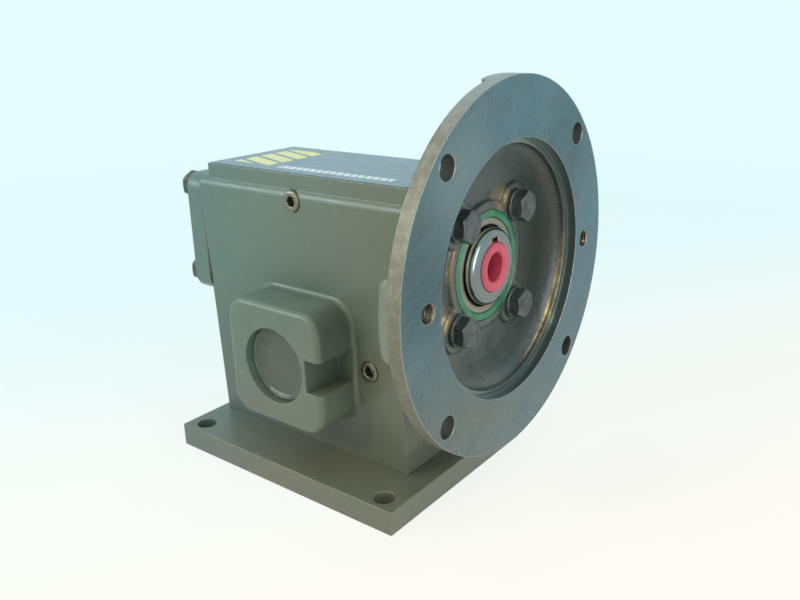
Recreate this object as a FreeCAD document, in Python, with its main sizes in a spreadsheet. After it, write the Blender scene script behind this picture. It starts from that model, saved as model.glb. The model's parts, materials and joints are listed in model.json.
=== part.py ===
import FreeCAD
import Part

import math
import os

import Sketcher
from FreeCAD import Placement, Rotation, Vector

# Worm gear reducer with a hollow motor quill, millimetres.
# X runs along the worm axis and out of the motor flange, Y along the output shaft, Z up.
# The origin is the middle of the underside of the base plate.

SIZES = {
    # Base plate
    "base_length": 144.0,
    "base_width": 113.0,
    "base_thickness": 12.0,
    "base_hole_radius": 5.15,
    "base_hole_end": 10.0,
    "base_hole_side": 8.0,
    "base_screw_end": 11.0,
    "base_screw_side": 10.3,
    "base_screw_radius": 4.0,
    "base_screw_head_radius": 7.5,
    "base_screw_head_depth": 4.5,
    "base_screw_grip": 14.0,
    # Housing
    "case_front": 65.0,
    "case_rear": 68.0,
    "case_top": 31.0,
    "case_top_half": 32.5,
    "case_foot_half": 27.3,
    "case_shoulder": 5.0,
    "pad_rise": 6.5,
    "pad_half": 30.5,
    "pad_rear_inset": 6.0,
    "foot_relief": 6.0,
    "foot_relief_margin": 4.0,
    "boss_wall": 11.0,
    "boss_wall_high": 11.5,
    "boss_face": 53.5,
    "boss_corner": 11.0,
    "boss_edge": 3.0,
    "boss_root": 2.5,
    "notch_depth": 9.0,
    "notch_half": 8.2,
    "sump_room": 9.8,
    "sump_side_room": 8.0,
    "sump_floor": 8.0,
    "sump_top": 5.0,
    "sump_corner": 35.0,
    "worm_bore_land": 1.5,
    "facing_y": 34.0,
    # Pipe plugs
    "plug_radius": 5.1,
    "plug_length": 8.0,
    "plug_socket": 4.76,
    "plug_socket_depth": 4.5,
    "vent_x": -2.0,
    "vent_z": 24.8,
    "vent_proud": 0.7,
    "level_x": 39.5,
    "level_z": -52.4,
    "level_proud": 2.9,
    # Motor flange
    "flange_length": 34.2,
    "flange_radius": 82.55,
    "rim_thickness": 6.5,
    "lug_rise": 3.5,
    "lug_root": 60.0,
    "lug_round": 2.8,
    "lug_angle": 23.0,
    "pilot_radius": 57.15,
    "pilot_depth": 4.5,
    "pilot_ledge": 2.65,
    "dish_round": 10.4,
    "seal_ring_rise": 2.3,
    "seat_root": 4.0,
    "hole_run": 4.0,
    "bell_radius": 66.0,
    "hub_radius": 42.0,
    "hub_length": 9.0,
    "motor_hole_edge": 7.9375,
    "motor_hole_radius": 5.15,
    "side_hole_margin": 8.35,
    "side_hole_radius": 4.2,
    "seal_ring_wall": 4.0,
    "seal_ring_depth": 14.7,
    "hub_bore_radius": 20.5,
    # Hex bolts of the flange and rear cover
    "bolt_wall": 1.48,
    "bolt_radius": 3.97,
    "bolt_hole_radius": 4.3,
    "bolt_across_flats": 12.7,
    "bolt_head": 5.4,
    "bolt_washer": 1.9,
    "bolt_washer_radius": 7.6,
    "bolt_boss_radius": 10.5,
    "bolt_grip": 14.0,
    # Gaskets and fits
    "gasket": 0.8,
    "seat_gap": 0.02,
    "thread_gap": 0.05,
    "end_gap": 0.2,
    "run_gap": 0.08,
    "race_gap": 0.1,
    # Rear cover
    "cover_margin": 7.7,
    "cover_drop_margin": 9.2,
    "cover_rise_margin": 7.2,
    "cover_corner": 8.0,
    "cover_thickness": 11.2,
    "cover_spigot_wall": 2.4,
    # Input seal
    "seal_radius": 25.0,
    "seal_width": 8.0,
    "seal_wall": 2.6,
    "lip_setback": 0.6,
    "lip_flat": 1.3,
    # Worm shaft
    "quill_setback": 11.0,
    "quill_round": 2.6,
    "quill_radius": 17.5,
    "quill_bore_radius": 11.1125,
    "quill_depth": 51.0,
    "quill_mouth_step": 0.3,
    "quill_mouth_depth": 11.0,
    "quill_key_width": 4.76,
    "quill_key_depth": 2.39,
    "quill_collar_rise": 2.5,
    "quill_collar": 4.0,
    "quill_body_end": 28.0,
    "worm_tail_start": 24.0,
    "worm_rear_radius": 10.0,
    "worm_rear_shoulder": 2.5,
    "worm_rear_gap": 1.5,
    "ring_groove_depth": 0.8,
    "ring_thickness": 1.2,
    "ring_proud": 2.6,
    # Gear pair
    "axial_module": 2.6,
    "worm_pitch_radius": 11.8,
    "wheel_teeth": 30,
    "worm_turns": 4,
    "pressure_angle": 20.0,
    "worm_flank_gap": 0.1,
    "wheel_flank_gap": 0.15,
    "worm_addendum": 2.6,
    "worm_dedendum": 3.12,
    "wheel_tip": 2.2,
    "wheel_edge_tip": 3.2,
    "throat_half": 2.4,
    "trim_margin": 0.3,
    "wheel_dedendum": 3.12,
    "wheel_width": 16.0,
    "wheel_rim_depth": 9.0,
    "hub_width": 26.0,
    # Output shaft
    "shaft_radius": 12.7,
    "shaft_reach": 51.0,
    "shaft_seat_radius": 15.0,
    "shaft_seat_proud": 1.0,
    "shaft_wheel_radius": 16.0,
    "shaft_collar_rise": 3.0,
    "shaft_tail_radius": 8.5,
    "shaft_tail_gap": 1.5,
    "shaft_key": 6.35,
    "shaft_key_length": 38.0,
    "shaft_key_inset": 6.0,
    "wheel_key_width": 8.0,
    "wheel_key_height": 7.0,
    "wheel_key_length": 22.0,
    "wheel_key_seat": 4.0,
    "spacer_wall": 2.5,
    # Output cover
    "plate_margin": 3.0,
    "foot_clearance": 4.5,
    "plate_corner": 10.0,
    "plate_thickness": 8.0,
    "spigot_radius": 44.0,
    "spigot_lip": 2.0,
    "cover_boss_wall": 7.0,
    "cover_boss_rise": 13.2,
    "cover_boss_taper": 4.0,
    "out_seal_radius": 23.5,
    "out_seal_width": 7.0,
    "out_seal_wall": 2.4,
    "plate_bolt_inset": 7.5,
    "plate_bolt_radius": 3.17,
    "plate_bolt_hole": 3.5,
    "plate_bolt_flats": 11.1,
    "plate_bolt_head": 4.2,
    "plate_bolt_grip": 11.0,
    # Closing cap of the boss
    "cap_land": 1.5,
    "cap_recess": 5.0,
    "cap_thickness": 4.0,
    # Red plug of the quill
    "plug_proud": 0.9,
    "plug_fit": 0.1,
    "plug_floor": 2.0,
    "plug_wall": 3.6,
    "plug_chamfer": 0.8,
    # Ball bearings: place, outside radius, half width, ball radius, land over the ball circle and number
    "front_inset": 3.0,
    "front_outside": 27.5,
    "front_half": 5.0,
    "front_ball": 2.75,
    "front_land": 1.5,
    "front_count": 10,
    "rear_inset": 11.0,
    "rear_outside": 23.5,
    "rear_half": 7.0,
    "rear_ball": 3.97,
    "rear_land": 2.2,
    "rear_count": 8,
    "tail_outside": 17.5,
    "tail_half": 5.0,
    "tail_ball": 2.38,
    "tail_land": 1.35,
    "tail_count": 9,
    "drive_inset": 2.0,
    "drive_outside": 31.0,
    "drive_half": 8.0,
    "drive_ball": 4.76,
    "drive_land": 2.7,
    "drive_count": 9,
    "cage_thickness": 1.2,
    "cage_margin": 1.0,
}

DIAGONAL = math.sqrt(0.5)
TOUCH = 0.01
QUARTERS = ((1, 1), (-1, 1), (-1, -1), (1, -1))

doc = FreeCAD.newDocument("worm_gear_reducer")
sheet = doc.addObject("Spreadsheet::Sheet", "Sizes")
for row, (alias, number) in enumerate(SIZES.items(), 1):
    sheet.set(f"A{row}", alias)
    sheet.set(f"B{row}", str(number))
    sheet.setAlias(f"B{row}", alias)
doc.recompute()


class Size:
    """A sheet expression and the value it works out to."""

    def __init__(self, text, value):
        self.text = text
        self.value = value

    def __add__(self, other):
        other = size(other)
        return Size(f"({self.text} + {other.text})", self.value + other.value)

    def __sub__(self, other):
        other = size(other)
        return Size(f"({self.text} - {other.text})", self.value - other.value)

    def __mul__(self, factor):
        factor = size(factor)
        return Size(f"({self.text} * {factor.text})", self.value * factor.value)

    def __neg__(self):
        return Size(f"(0 - {self.text})", -self.value)


class Sheet:
    """Reads a named cell as a Size."""

    def __getattr__(self, alias):
        return Size(f"Sizes.{alias}", SIZES[alias])


s = Sheet()
ZERO = Size("0", 0.0)


def size(value):
    return value if isinstance(value, Size) else Size(repr(value), value)


def bind(thing, prop, value):
    thing.setExpression(prop, size(value).text)


# Sizes that follow from the driving ones

pitch_radius = s.axial_module * s.wheel_teeth * 0.5
centre_distance = pitch_radius + s.worm_pitch_radius
wheel_rim_radius = pitch_radius - s.wheel_rim_depth
plate_half = s.spigot_radius + s.plate_margin
plate_bolt_spread = plate_half - s.plate_bolt_inset
output_z = s.base_thickness + s.foot_clearance + plate_half
worm_height = output_z + centre_distance
case_bottom = s.base_thickness - worm_height

front_middle = s.case_front - s.front_inset
rear_middle = s.rear_inset - s.case_rear
worm_bore_radius = s.rear_outside - s.worm_bore_land
bolt_spread = (s.front_outside + s.bolt_radius + s.bolt_wall) * DIAGONAL
cover_half = bolt_spread + s.cover_margin
cover_drop = bolt_spread + s.cover_drop_margin
cover_rise = bolt_spread + s.cover_rise_margin
pad_top = s.case_top + s.pad_rise
pad_rear = s.case_rear - s.pad_rear_inset
foot_front = s.case_front - s.foot_relief
foot_relief_top = -cover_drop - s.foot_relief_margin
base_screw_front = foot_front - s.base_screw_end
base_screw_rear = s.case_rear - s.base_screw_end
base_screw_side = s.case_foot_half - s.base_screw_side
sump_half_length = pitch_radius + s.wheel_edge_tip + s.sump_room
sump_half_width = s.hub_width * 0.5 + s.sump_side_room

flange_rear = s.case_front + s.gasket
flange_face = flange_rear + s.flange_length
lug_thickness = s.rim_thickness + s.lug_rise
dish_radius = s.pilot_radius - s.pilot_ledge
floor_depth = s.seal_ring_depth + s.seal_ring_rise
seal_ring_radius = s.seal_radius + s.seal_ring_wall
motor_bolt_radius = s.flange_radius - s.motor_hole_edge
side_hole_circle = s.pilot_radius + s.side_hole_margin

quill_end = flange_face - s.quill_setback
quill_bore_end = quill_end - s.quill_depth
quill_mouth_radius = s.quill_bore_radius + s.quill_mouth_step
quill_plug_radius = quill_mouth_radius - s.plug_fit

cap_radius = s.tail_outside + s.cap_land
boss_half_width = cap_radius + s.boss_wall
boss_half_height = cap_radius + s.boss_wall_high
cap_seat = s.cap_recess + s.cap_thickness - s.boss_face
tail_middle = cap_seat + s.end_gap + s.tail_half
shaft_tail_end = -cap_seat - s.shaft_tail_gap
drive_middle = s.facing_y + s.drive_inset
spigot_inner = drive_middle - s.drive_half - s.spigot_lip
cover_boss_radius = s.drive_outside + s.cover_boss_wall
cover_boss_end = s.facing_y + s.gasket + s.plate_thickness + s.cover_boss_rise
shaft_shoulder = cover_boss_end + s.shaft_seat_proud
shaft_end = shaft_shoulder + s.shaft_reach

PLUGS = (
    ("vent", s.vent_x, s.case_top_half + s.vent_proud, s.vent_z),
    ("level", s.level_x, s.case_foot_half + s.level_proud, s.level_z),
)


# Sketch helpers

def hold(sketch, kind, arguments, value):
    index = sketch.addConstraint(Sketcher.Constraint(kind, *arguments, value.value))
    sketch.setExpression(f"Constraints[{index}]", value.text)


def fix_point(sketch, geometry, end, x, y):
    for kind, value, axis in (("DistanceX", size(x), -2), ("DistanceY", size(y), -1)):
        if value.text in ("0", "0.0"):
            sketch.addConstraint(Sketcher.Constraint("PointOnObject", geometry, end, axis))
        else:
            hold(sketch, kind, (-1, 1, geometry, end), value)


def outline(sketch, points):
    """A closed outline of straight lines."""
    corners = [Vector(size(x).value, size(y).value, 0) for x, y in points]
    count = len(corners)
    first = sketch.GeometryCount
    for i in range(count):
        sketch.addGeometry(Part.LineSegment(corners[i], corners[(i + 1) % count]))
    for i in range(count):
        after = first + (i + 1) % count
        sketch.addConstraint(Sketcher.Constraint("Coincident", first + i, 2, after, 1))
    for i, (x, y) in enumerate(points):
        fix_point(sketch, first + i, 1, x, y)


def circle(sketch, x, y, radius):
    centre = Vector(size(x).value, size(y).value, 0)
    index = sketch.addGeometry(Part.Circle(centre, Vector(0, 0, 1), size(radius).value))
    fix_point(sketch, index, 3, x, y)
    hold(sketch, "Radius", (index,), size(radius))


def rounded_box(sketch, left, right, low, high, radius):
    """A box with four equal rounded corners."""
    x0, x1, y0, y1, r = (size(v).value for v in (left, right, low, high, radius))
    sides = (
        ((x0 + r, y0), (x1 - r, y0)),
        ((x1, y0 + r), (x1, y1 - r)),
        ((x1 - r, y1), (x0 + r, y1)),
        ((x0, y1 - r), (x0, y0 + r)),
    )
    centres = ((x1 - r, y0 + r), (x1 - r, y1 - r), (x0 + r, y1 - r), (x0 + r, y0 + r))
    first = sketch.GeometryCount
    for start, end in sides:
        sketch.addGeometry(Part.LineSegment(Vector(*start, 0), Vector(*end, 0)))
    for i, centre in enumerate(centres):
        base = Part.Circle(Vector(*centre, 0), Vector(0, 0, 1), r)
        turn = (i - 1) * math.pi / 2
        sketch.addGeometry(Part.ArcOfCircle(base, turn, turn + math.pi / 2))
    for i in range(4):
        arc = first + 4 + i
        sketch.addConstraint(Sketcher.Constraint("Tangent", first + i, 2, arc, 1))
        sketch.addConstraint(Sketcher.Constraint("Tangent", arc, 2, first + (i + 1) % 4, 1))
        kind = "Horizontal" if i % 2 == 0 else "Vertical"
        sketch.addConstraint(Sketcher.Constraint(kind, first + i))
    for i in range(1, 4):
        sketch.addConstraint(Sketcher.Constraint("Equal", first + 4, first + 4 + i))
    hold(sketch, "Radius", (first + 4,), size(radius))
    hold(sketch, "DistanceY", (-1, 1, first, 1), size(low))
    hold(sketch, "DistanceX", (-1, 1, first + 1, 1), size(right))
    hold(sketch, "DistanceY", (-1, 1, first + 2, 1), size(high))
    hold(sketch, "DistanceX", (-1, 1, first + 3, 1), size(left))


# Body helpers

def new_body(label, x=ZERO, y=ZERO, z=ZERO):
    body = doc.addObject("PartDesign::Body", label)
    body.Label = label
    for axis, value in zip("xyz", (x, y, z)):
        if size(value).text != "0":
            bind(body, f"Placement.Base.{axis}", value)
    return body


def new_sketch(body, role, offset=ZERO):
    sketch = body.newObject("Sketcher::SketchObject", "Sketch")
    plane = next(f for f in body.Origin.OriginFeatures if f.Role == role)
    sketch.AttachmentSupport = [(plane, "")]
    sketch.MapMode = "FlatFace"
    if size(offset).text != "0":
        bind(sketch, "AttachmentOffset.Base.z", offset)
    return sketch


def extrude(body, kind, sketch, length, backwards=False):
    feature = body.newObject(f"PartDesign::{kind}", kind)
    feature.Profile = sketch
    bind(feature, "Length", length)
    feature.Reversed = backwards
    return feature


def turn(body, kind, sketch, axis="H_Axis"):
    feature = body.newObject(f"PartDesign::{kind}", kind)
    feature.Profile = sketch
    feature.ReferenceAxis = (sketch, [axis])
    feature.Angle = 360
    return feature


def spin(body, kind, points, axis="H_Axis", role="XZ_Plane", offset=ZERO):
    """Turns an outline about the X axis (H_Axis of XZ) or the Y axis (V_Axis of XY)."""
    sketch = new_sketch(body, role, offset)
    outline(sketch, points)
    return turn(body, kind, sketch, axis)


def round_edges(body, feature, radius, chosen):
    doc.recompute()
    names = [f"Edge{i}" for i, e in enumerate(feature.Shape.Edges, 1) if chosen(e)]
    fillet = body.newObject("PartDesign::Fillet", "Fillet")
    fillet.Base = (feature, names)
    bind(fillet, "Radius", radius)
    return fillet


def block(label, start, extent):
    box = doc.addObject("Part::Box", label)
    box.Label = label
    for prop, value in zip(("Length", "Width", "Height"), extent):
        bind(box, prop, value)
    for axis, value in zip("xyz", start):
        bind(box, f"Placement.Base.{axis}", value)
    return box


def place(thing, spot, rotation=Rotation()):
    thing.Placement = Placement(Vector(), rotation)
    for axis, value in zip("xyz", spot):
        bind(thing, f"Placement.Base.{axis}", value)


def join(kind, label, base, tool):
    """A boolean of two things, named by its kind: Fuse, Cut or Common."""
    result = doc.addObject(f"Part::{kind}", label)
    result.Label = label
    result.Base = base
    result.Tool = tool
    return result


def compound(label, members):
    group = doc.addObject("Part::Compound", label)
    group.Label = label
    group.Links = members
    return group


# Rotations that turn an upright piece (axis along Z) to point along an axis

TO_X = Rotation(Vector(0, 1, 0), 90)
TO_REAR = Rotation(Vector(0, 1, 0), -90)
TO_Y = Rotation(Vector(1, 0, 0), -90)
TO_BOSS = Rotation(Vector(1, 0, 0), 90)

NODES = []


def keep(thing):
    NODES.append(thing)
    return thing


def hex_bolts(label, spots, rotation, flats, head, radius, length, washer=None):
    """Hex bolts with the underside of the head at each spot, head outwards, and a washer face if given."""
    bolts = []
    for i, spot in enumerate(spots, 1):
        top = doc.addObject("Part::Prism", f"{label}_head{i}")
        top.Polygon = 6
        bind(top, "Circumradius", size(flats) * (1 / math.sqrt(3)))
        bind(top, "Height", head)
        shank = doc.addObject("Part::Cylinder", f"{label}_shank{i}")
        bind(shank, "Radius", radius)
        bind(shank, "Height", size(length) + head)
        bind(shank, "Placement.Base.z", -size(length))
        bolt = join("Fuse", f"{label}_bolt{i}", top, shank)
        if washer:
            thickness, wide = washer
            disc = doc.addObject("Part::Cylinder", f"{label}_washer{i}")
            bind(disc, "Radius", wide)
            bind(disc, "Height", thickness)
            bind(disc, "Placement.Base.z", -thickness)
            bolt = join("Fuse", f"{label}_faced{i}", bolt, disc)
        place(bolt, spot, rotation)
        bolts.append(bolt)
    return keep(compound(label, bolts))


# Gear housing, local origin on the worm axis

def gear_housing():
    body = new_body("gear_housing", z=worm_height)
    sketch = new_sketch(body, "YZ_Plane", -s.case_rear)
    outline(sketch, [
        (-s.case_foot_half, case_bottom),
        (s.case_foot_half, case_bottom),
        (s.case_top_half, s.case_top),
        (-s.case_top_half, s.case_top),
    ])
    case = extrude(body, "Pad", sketch, s.case_front + s.case_rear)

    def at_shoulder(edge):
        box = edge.BoundBox
        return box.ZMin > SIZES["case_top"] - TOUCH and box.YLength < TOUCH

    round_edges(body, case, s.case_shoulder, at_shoulder)

    sketch = new_sketch(body, "XY_Plane", s.case_top - s.case_shoulder)
    outline(sketch, [
        (-pad_rear, -s.pad_half),
        (s.case_front, -s.pad_half),
        (s.case_front, s.pad_half),
        (-pad_rear, s.pad_half),
    ])
    extrude(body, "Pad", sketch, s.pad_rise + s.case_shoulder)

    sketch = new_sketch(body, "XZ_Plane", sump_half_width)
    rounded_box(sketch, -boss_half_width, boss_half_width,
                -centre_distance - boss_half_height,
                boss_half_height - centre_distance, s.boss_corner)
    boss = extrude(body, "Pad", sketch, s.boss_face - sump_half_width)

    def at_face(edge):
        return edge.BoundBox.YMax < TOUCH - SIZES["boss_face"]

    boss = round_edges(body, boss, s.boss_edge, at_face)

    def at_root(edge):
        slope = (SIZES["case_top_half"] - SIZES["case_foot_half"]) / (SIZES["case_top"] - case_bottom.value)
        for point in (vertex.Point for vertex in edge.Vertexes):
            wall = SIZES["case_foot_half"] + (point.z - case_bottom.value) * slope
            if abs(point.y + wall) > TOUCH or abs(point.x) > boss_half_width.value + TOUCH:
                return False
        return True

    round_edges(body, boss, s.boss_root, at_root)

    sketch = new_sketch(body, "XZ_Plane", -sump_half_width)
    rounded_box(sketch, -plate_half, plate_half,
                -centre_distance - plate_half, plate_half - centre_distance, s.plate_corner)
    extrude(body, "Pad", sketch, s.facing_y - sump_half_width, backwards=True)

    # Clearance notch in the side of the boss, level with the oil level plug
    sketch = new_sketch(body, "XZ_Plane", s.boss_face + s.boss_edge)
    outline(sketch, [
        (boss_half_width - s.notch_depth, -centre_distance - s.notch_half),
        (boss_half_width + s.boss_edge, -centre_distance - s.notch_half),
        (boss_half_width + s.boss_edge, s.notch_half - centre_distance),
        (boss_half_width - s.notch_depth, s.notch_half - centre_distance),
    ])
    extrude(body, "Pocket", sketch, s.boss_face - s.case_foot_half)

    # Front of the foot, set back under the flange
    sketch = new_sketch(body, "YZ_Plane", s.case_front)
    outline(sketch, [
        (-s.case_top_half, case_bottom),
        (s.case_top_half, case_bottom),
        (s.case_top_half, foot_relief_top),
        (-s.case_top_half, foot_relief_top),
    ])
    extrude(body, "Pocket", sketch, s.foot_relief)

    # Oil sump round the wheel, with the opening that the wheel goes in by
    sketch = new_sketch(body, "XZ_Plane", sump_half_width)
    rounded_box(sketch, -sump_half_length, sump_half_length,
                case_bottom + s.sump_floor, -s.sump_top, s.sump_corner)
    extrude(body, "Pocket", sketch, sump_half_width * 2)
    sketch = new_sketch(body, "XZ_Plane", -s.facing_y)
    circle(sketch, ZERO, -centre_distance, s.spigot_radius + s.seat_gap)
    extrude(body, "Pocket", sketch, s.facing_y - sump_half_width, backwards=True)

    # Bore for the worm and its two bearings
    front_end = front_middle - s.front_half
    rear_end = rear_middle + s.rear_half
    spin(body, "Groove", [
        (-s.case_rear, ZERO),
        (-s.case_rear, s.rear_outside + s.seat_gap),
        (rear_end, s.rear_outside + s.seat_gap),
        (rear_end, worm_bore_radius),
        (front_end, worm_bore_radius),
        (front_end, s.front_outside + s.seat_gap),
        (s.case_front, s.front_outside + s.seat_gap),
        (s.case_front, ZERO),
    ])

    # Bore of the boss for the tail bearing and the closing cap
    spin(body, "Groove", [
        (ZERO, -s.boss_face),
        (cap_radius + s.seat_gap, -s.boss_face),
        (cap_radius + s.seat_gap, cap_seat),
        (s.tail_outside + s.seat_gap, cap_seat),
        (s.tail_outside + s.seat_gap, -sump_half_width),
        (ZERO, -sump_half_width),
    ], axis="V_Axis", role="XY_Plane", offset=-centre_distance)

    # Tapped holes for the flange, rear cover, output cover, base and pipe plugs
    tapped = s.bolt_radius + s.thread_gap
    sketch = new_sketch(body, "YZ_Plane", s.case_front)
    for side, up in QUARTERS:
        circle(sketch, bolt_spread * side, bolt_spread * up, tapped)
    extrude(body, "Pocket", sketch, s.bolt_grip + s.end_gap)
    sketch = new_sketch(body, "YZ_Plane", -s.case_rear)
    for side, up in QUARTERS:
        circle(sketch, bolt_spread * side, bolt_spread * up, tapped)
    extrude(body, "Pocket", sketch, s.bolt_grip + s.end_gap, backwards=True)
    sketch = new_sketch(body, "XZ_Plane", -s.facing_y)
    for side, up in QUARTERS:
        circle(sketch, plate_bolt_spread * side, plate_bolt_spread * up - centre_distance,
               s.plate_bolt_radius + s.thread_gap)
    extrude(body, "Pocket", sketch, s.plate_bolt_grip + s.end_gap, backwards=True)
    sketch = new_sketch(body, "XY_Plane", case_bottom)
    for x in (base_screw_front, -base_screw_rear):
        for side in (1, -1):
            circle(sketch, x, base_screw_side * side, s.base_screw_radius + s.thread_gap)
    extrude(body, "Pocket", sketch, s.base_screw_grip + s.end_gap, backwards=True)
    for _, x, y, z in PLUGS:
        sketch = new_sketch(body, "XZ_Plane", y)
        circle(sketch, x, z, s.plug_radius + s.thread_gap)
        extrude(body, "Pocket", sketch, s.plug_length + s.end_gap)
    return keep(body)


def pipe_plugs():
    plugs = []
    for name, x, y, z in PLUGS:
        core = doc.addObject("Part::Cylinder", f"{name}_core")
        bind(core, "Radius", s.plug_radius)
        bind(core, "Height", s.plug_length)
        socket = doc.addObject("Part::Prism", f"{name}_socket")
        socket.Polygon = 6
        bind(socket, "Circumradius", s.plug_socket * (1 / math.sqrt(3)))
        bind(socket, "Height", s.plug_socket_depth)
        bind(socket, "Placement.Base.z", s.plug_length - s.plug_socket_depth)
        plug = join("Cut", f"{name}_plug", core, socket)
        place(plug, (x, s.plug_length - y, worm_height + z), TO_BOSS)
        plugs.append(plug)
    return keep(compound("pipe_plugs", plugs))


def base_plate():
    body = new_body("base_plate")
    sketch = new_sketch(body, "XY_Plane")
    long_half = s.base_length * 0.5
    wide_half = s.base_width * 0.5
    outline(sketch, [
        (-long_half, -wide_half),
        (long_half, -wide_half),
        (long_half, wide_half),
        (-long_half, wide_half),
    ])
    extrude(body, "Pad", sketch, s.base_thickness)
    sketch = new_sketch(body, "XY_Plane", s.base_thickness)
    for along, across in QUARTERS:
        circle(sketch, (long_half - s.base_hole_end) * along, (wide_half - s.base_hole_side) * across,
               s.base_hole_radius)
    extrude(body, "Pocket", sketch, s.base_thickness)
    sketch = new_sketch(body, "XY_Plane", s.base_thickness)
    screws = [(x, base_screw_side * side)
              for x in (base_screw_front, -base_screw_rear) for side in (1, -1)]
    for x, y in screws:
        circle(sketch, x, y, s.base_screw_radius + s.thread_gap)
    extrude(body, "Pocket", sketch, s.base_thickness)
    sketch = new_sketch(body, "XY_Plane", s.base_screw_head_depth + s.end_gap * 2)
    for x, y in screws:
        circle(sketch, x, y, s.base_screw_head_radius + s.end_gap)
    extrude(body, "Pocket", sketch, s.base_screw_head_depth + s.end_gap * 2)
    return keep(body)


def base_screws():
    screws = []
    for x in (base_screw_front, -base_screw_rear):
        for side in (1, -1):
            name = f"base_screw{len(screws) + 1}"
            head = doc.addObject("Part::Cylinder", f"{name}_head")
            bind(head, "Radius", s.base_screw_head_radius)
            bind(head, "Height", s.base_screw_head_depth)
            shank = doc.addObject("Part::Cylinder", f"{name}_shank")
            bind(shank, "Radius", s.base_screw_radius)
            bind(shank, "Height", s.base_thickness + s.base_screw_grip - s.end_gap * 2)
            screw = join("Fuse", name, head, shank)
            place(screw, (x, base_screw_side * side, s.end_gap * 2))
            screws.append(screw)
    return keep(compound("base_screws", screws))


# Motor flange, local origin at the middle of its machined face

def motor_flange():
    body = new_body("motor_flange", x=flange_face, z=worm_height)
    back = flange_rear - flange_face
    spin(body, "Revolution", [
        (back, ZERO),
        (back, s.hub_radius),
        (back + s.hub_length, s.hub_radius),
        (-s.rim_thickness, s.bell_radius),
        (-s.rim_thickness, s.flange_radius),
        (ZERO, s.flange_radius),
        (ZERO, s.pilot_radius),
        (-s.pilot_depth, s.pilot_radius),
        (-s.pilot_depth, dish_radius),
        (s.dish_round - floor_depth, dish_radius),
        (-floor_depth + s.dish_round * (1 - DIAGONAL), dish_radius - s.dish_round * (1 - DIAGONAL)),
        (-floor_depth, dish_radius - s.dish_round),
        (-floor_depth, seal_ring_radius),
        (-s.seal_ring_depth, seal_ring_radius),
        (-s.seal_ring_depth, ZERO),
    ])

    # Thick lugs behind the rim at the four quarters
    sketch = new_sketch(body, "XZ_Plane")
    outline(sketch, [
        (-lug_thickness, s.lug_root),
        (-lug_thickness, s.flange_radius),
        (-s.rim_thickness, s.flange_radius),
        (-s.rim_thickness, s.lug_root),
    ])
    lug = turn(body, "Revolution", sketch)
    lug.Midplane = True
    bind(lug, "Angle", s.lug_angle)
    lugs = body.newObject("PartDesign::PolarPattern", "Lugs")
    lugs.Originals = [lug]
    lugs.Axis = (sketch, ["H_Axis"])
    lugs.Angle = 360
    lugs.Occurrences = 4
    body.Tip = lugs

    def at_lug_end(edge):
        return edge.BoundBox.XMax < TOUCH - lug_thickness.value and edge.Curve.TypeId == "Part::GeomLine"

    round_edges(body, lugs, s.lug_round, at_lug_end)

    # Raised seats under the four bolt heads
    sketch = new_sketch(body, "YZ_Plane", -floor_depth - s.seat_root)
    for side, up in QUARTERS:
        circle(sketch, bolt_spread * side, bolt_spread * up, s.bolt_boss_radius)
    extrude(body, "Pad", sketch, s.seal_ring_rise + s.seat_root)

    # Seal pocket, shaft bore and the lip that takes the front bearing
    lip = front_middle + s.front_half + s.end_gap - flange_face
    seal_back = -s.seal_ring_depth - s.seal_width - s.end_gap
    spin(body, "Groove", [
        (back, ZERO),
        (back, s.front_outside + s.seat_gap),
        (lip, s.front_outside + s.seat_gap),
        (lip, s.hub_bore_radius),
        (seal_back, s.hub_bore_radius),
        (seal_back, s.seal_radius + s.seat_gap),
        (ZERO, s.seal_radius + s.seat_gap),
        (ZERO, ZERO),
    ])

    sketch = new_sketch(body, "YZ_Plane")
    for side, up in QUARTERS:
        circle(sketch, motor_bolt_radius * (side * DIAGONAL), motor_bolt_radius * (up * DIAGONAL),
               s.motor_hole_radius)
    for side in (1, -1):
        circle(sketch, side_hole_circle * side, ZERO, s.side_hole_radius)
    extrude(body, "Pocket", sketch, lug_thickness + s.hole_run)
    sketch = new_sketch(body, "YZ_Plane")
    for side, up in QUARTERS:
        circle(sketch, bolt_spread * side, bolt_spread * up, s.bolt_hole_radius)
    extrude(body, "Pocket", sketch, flange_face - flange_rear)
    return keep(body)


def gasket_plate(label, start, left, right, low, high, corner, hole):
    """A square gasket on the worm axis with the four bolt holes."""
    body = new_body(label, x=start, z=worm_height)
    sketch = new_sketch(body, "YZ_Plane")
    rounded_box(sketch, left, right, low, high, corner)
    circle(sketch, ZERO, ZERO, hole)
    for side, up in QUARTERS:
        circle(sketch, bolt_spread * side, bolt_spread * up, s.bolt_hole_radius)
    extrude(body, "Pad", sketch, s.gasket)
    return keep(body)


def rear_cover():
    body = new_body("rear_cover", x=-s.case_rear - s.gasket, z=worm_height)
    sketch = new_sketch(body, "YZ_Plane", -s.cover_thickness)
    rounded_box(sketch, -cover_half, cover_half, -cover_drop, cover_rise, s.cover_corner)
    extrude(body, "Pad", sketch, s.cover_thickness)
    ring_face = rear_middle - s.rear_half - s.end_gap + s.case_rear + s.gasket
    inner = s.rear_outside - s.cover_spigot_wall
    spin(body, "Revolution", [
        (-s.gasket, ZERO),
        (-s.gasket, s.rear_outside),
        (ring_face, s.rear_outside),
        (ring_face, inner),
        (ZERO, inner),
        (ZERO, ZERO),
    ])
    sketch = new_sketch(body, "YZ_Plane")
    for side, up in QUARTERS:
        circle(sketch, bolt_spread * side, bolt_spread * up, s.bolt_hole_radius)
    extrude(body, "Pocket", sketch, s.cover_thickness)
    return keep(body)


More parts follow.
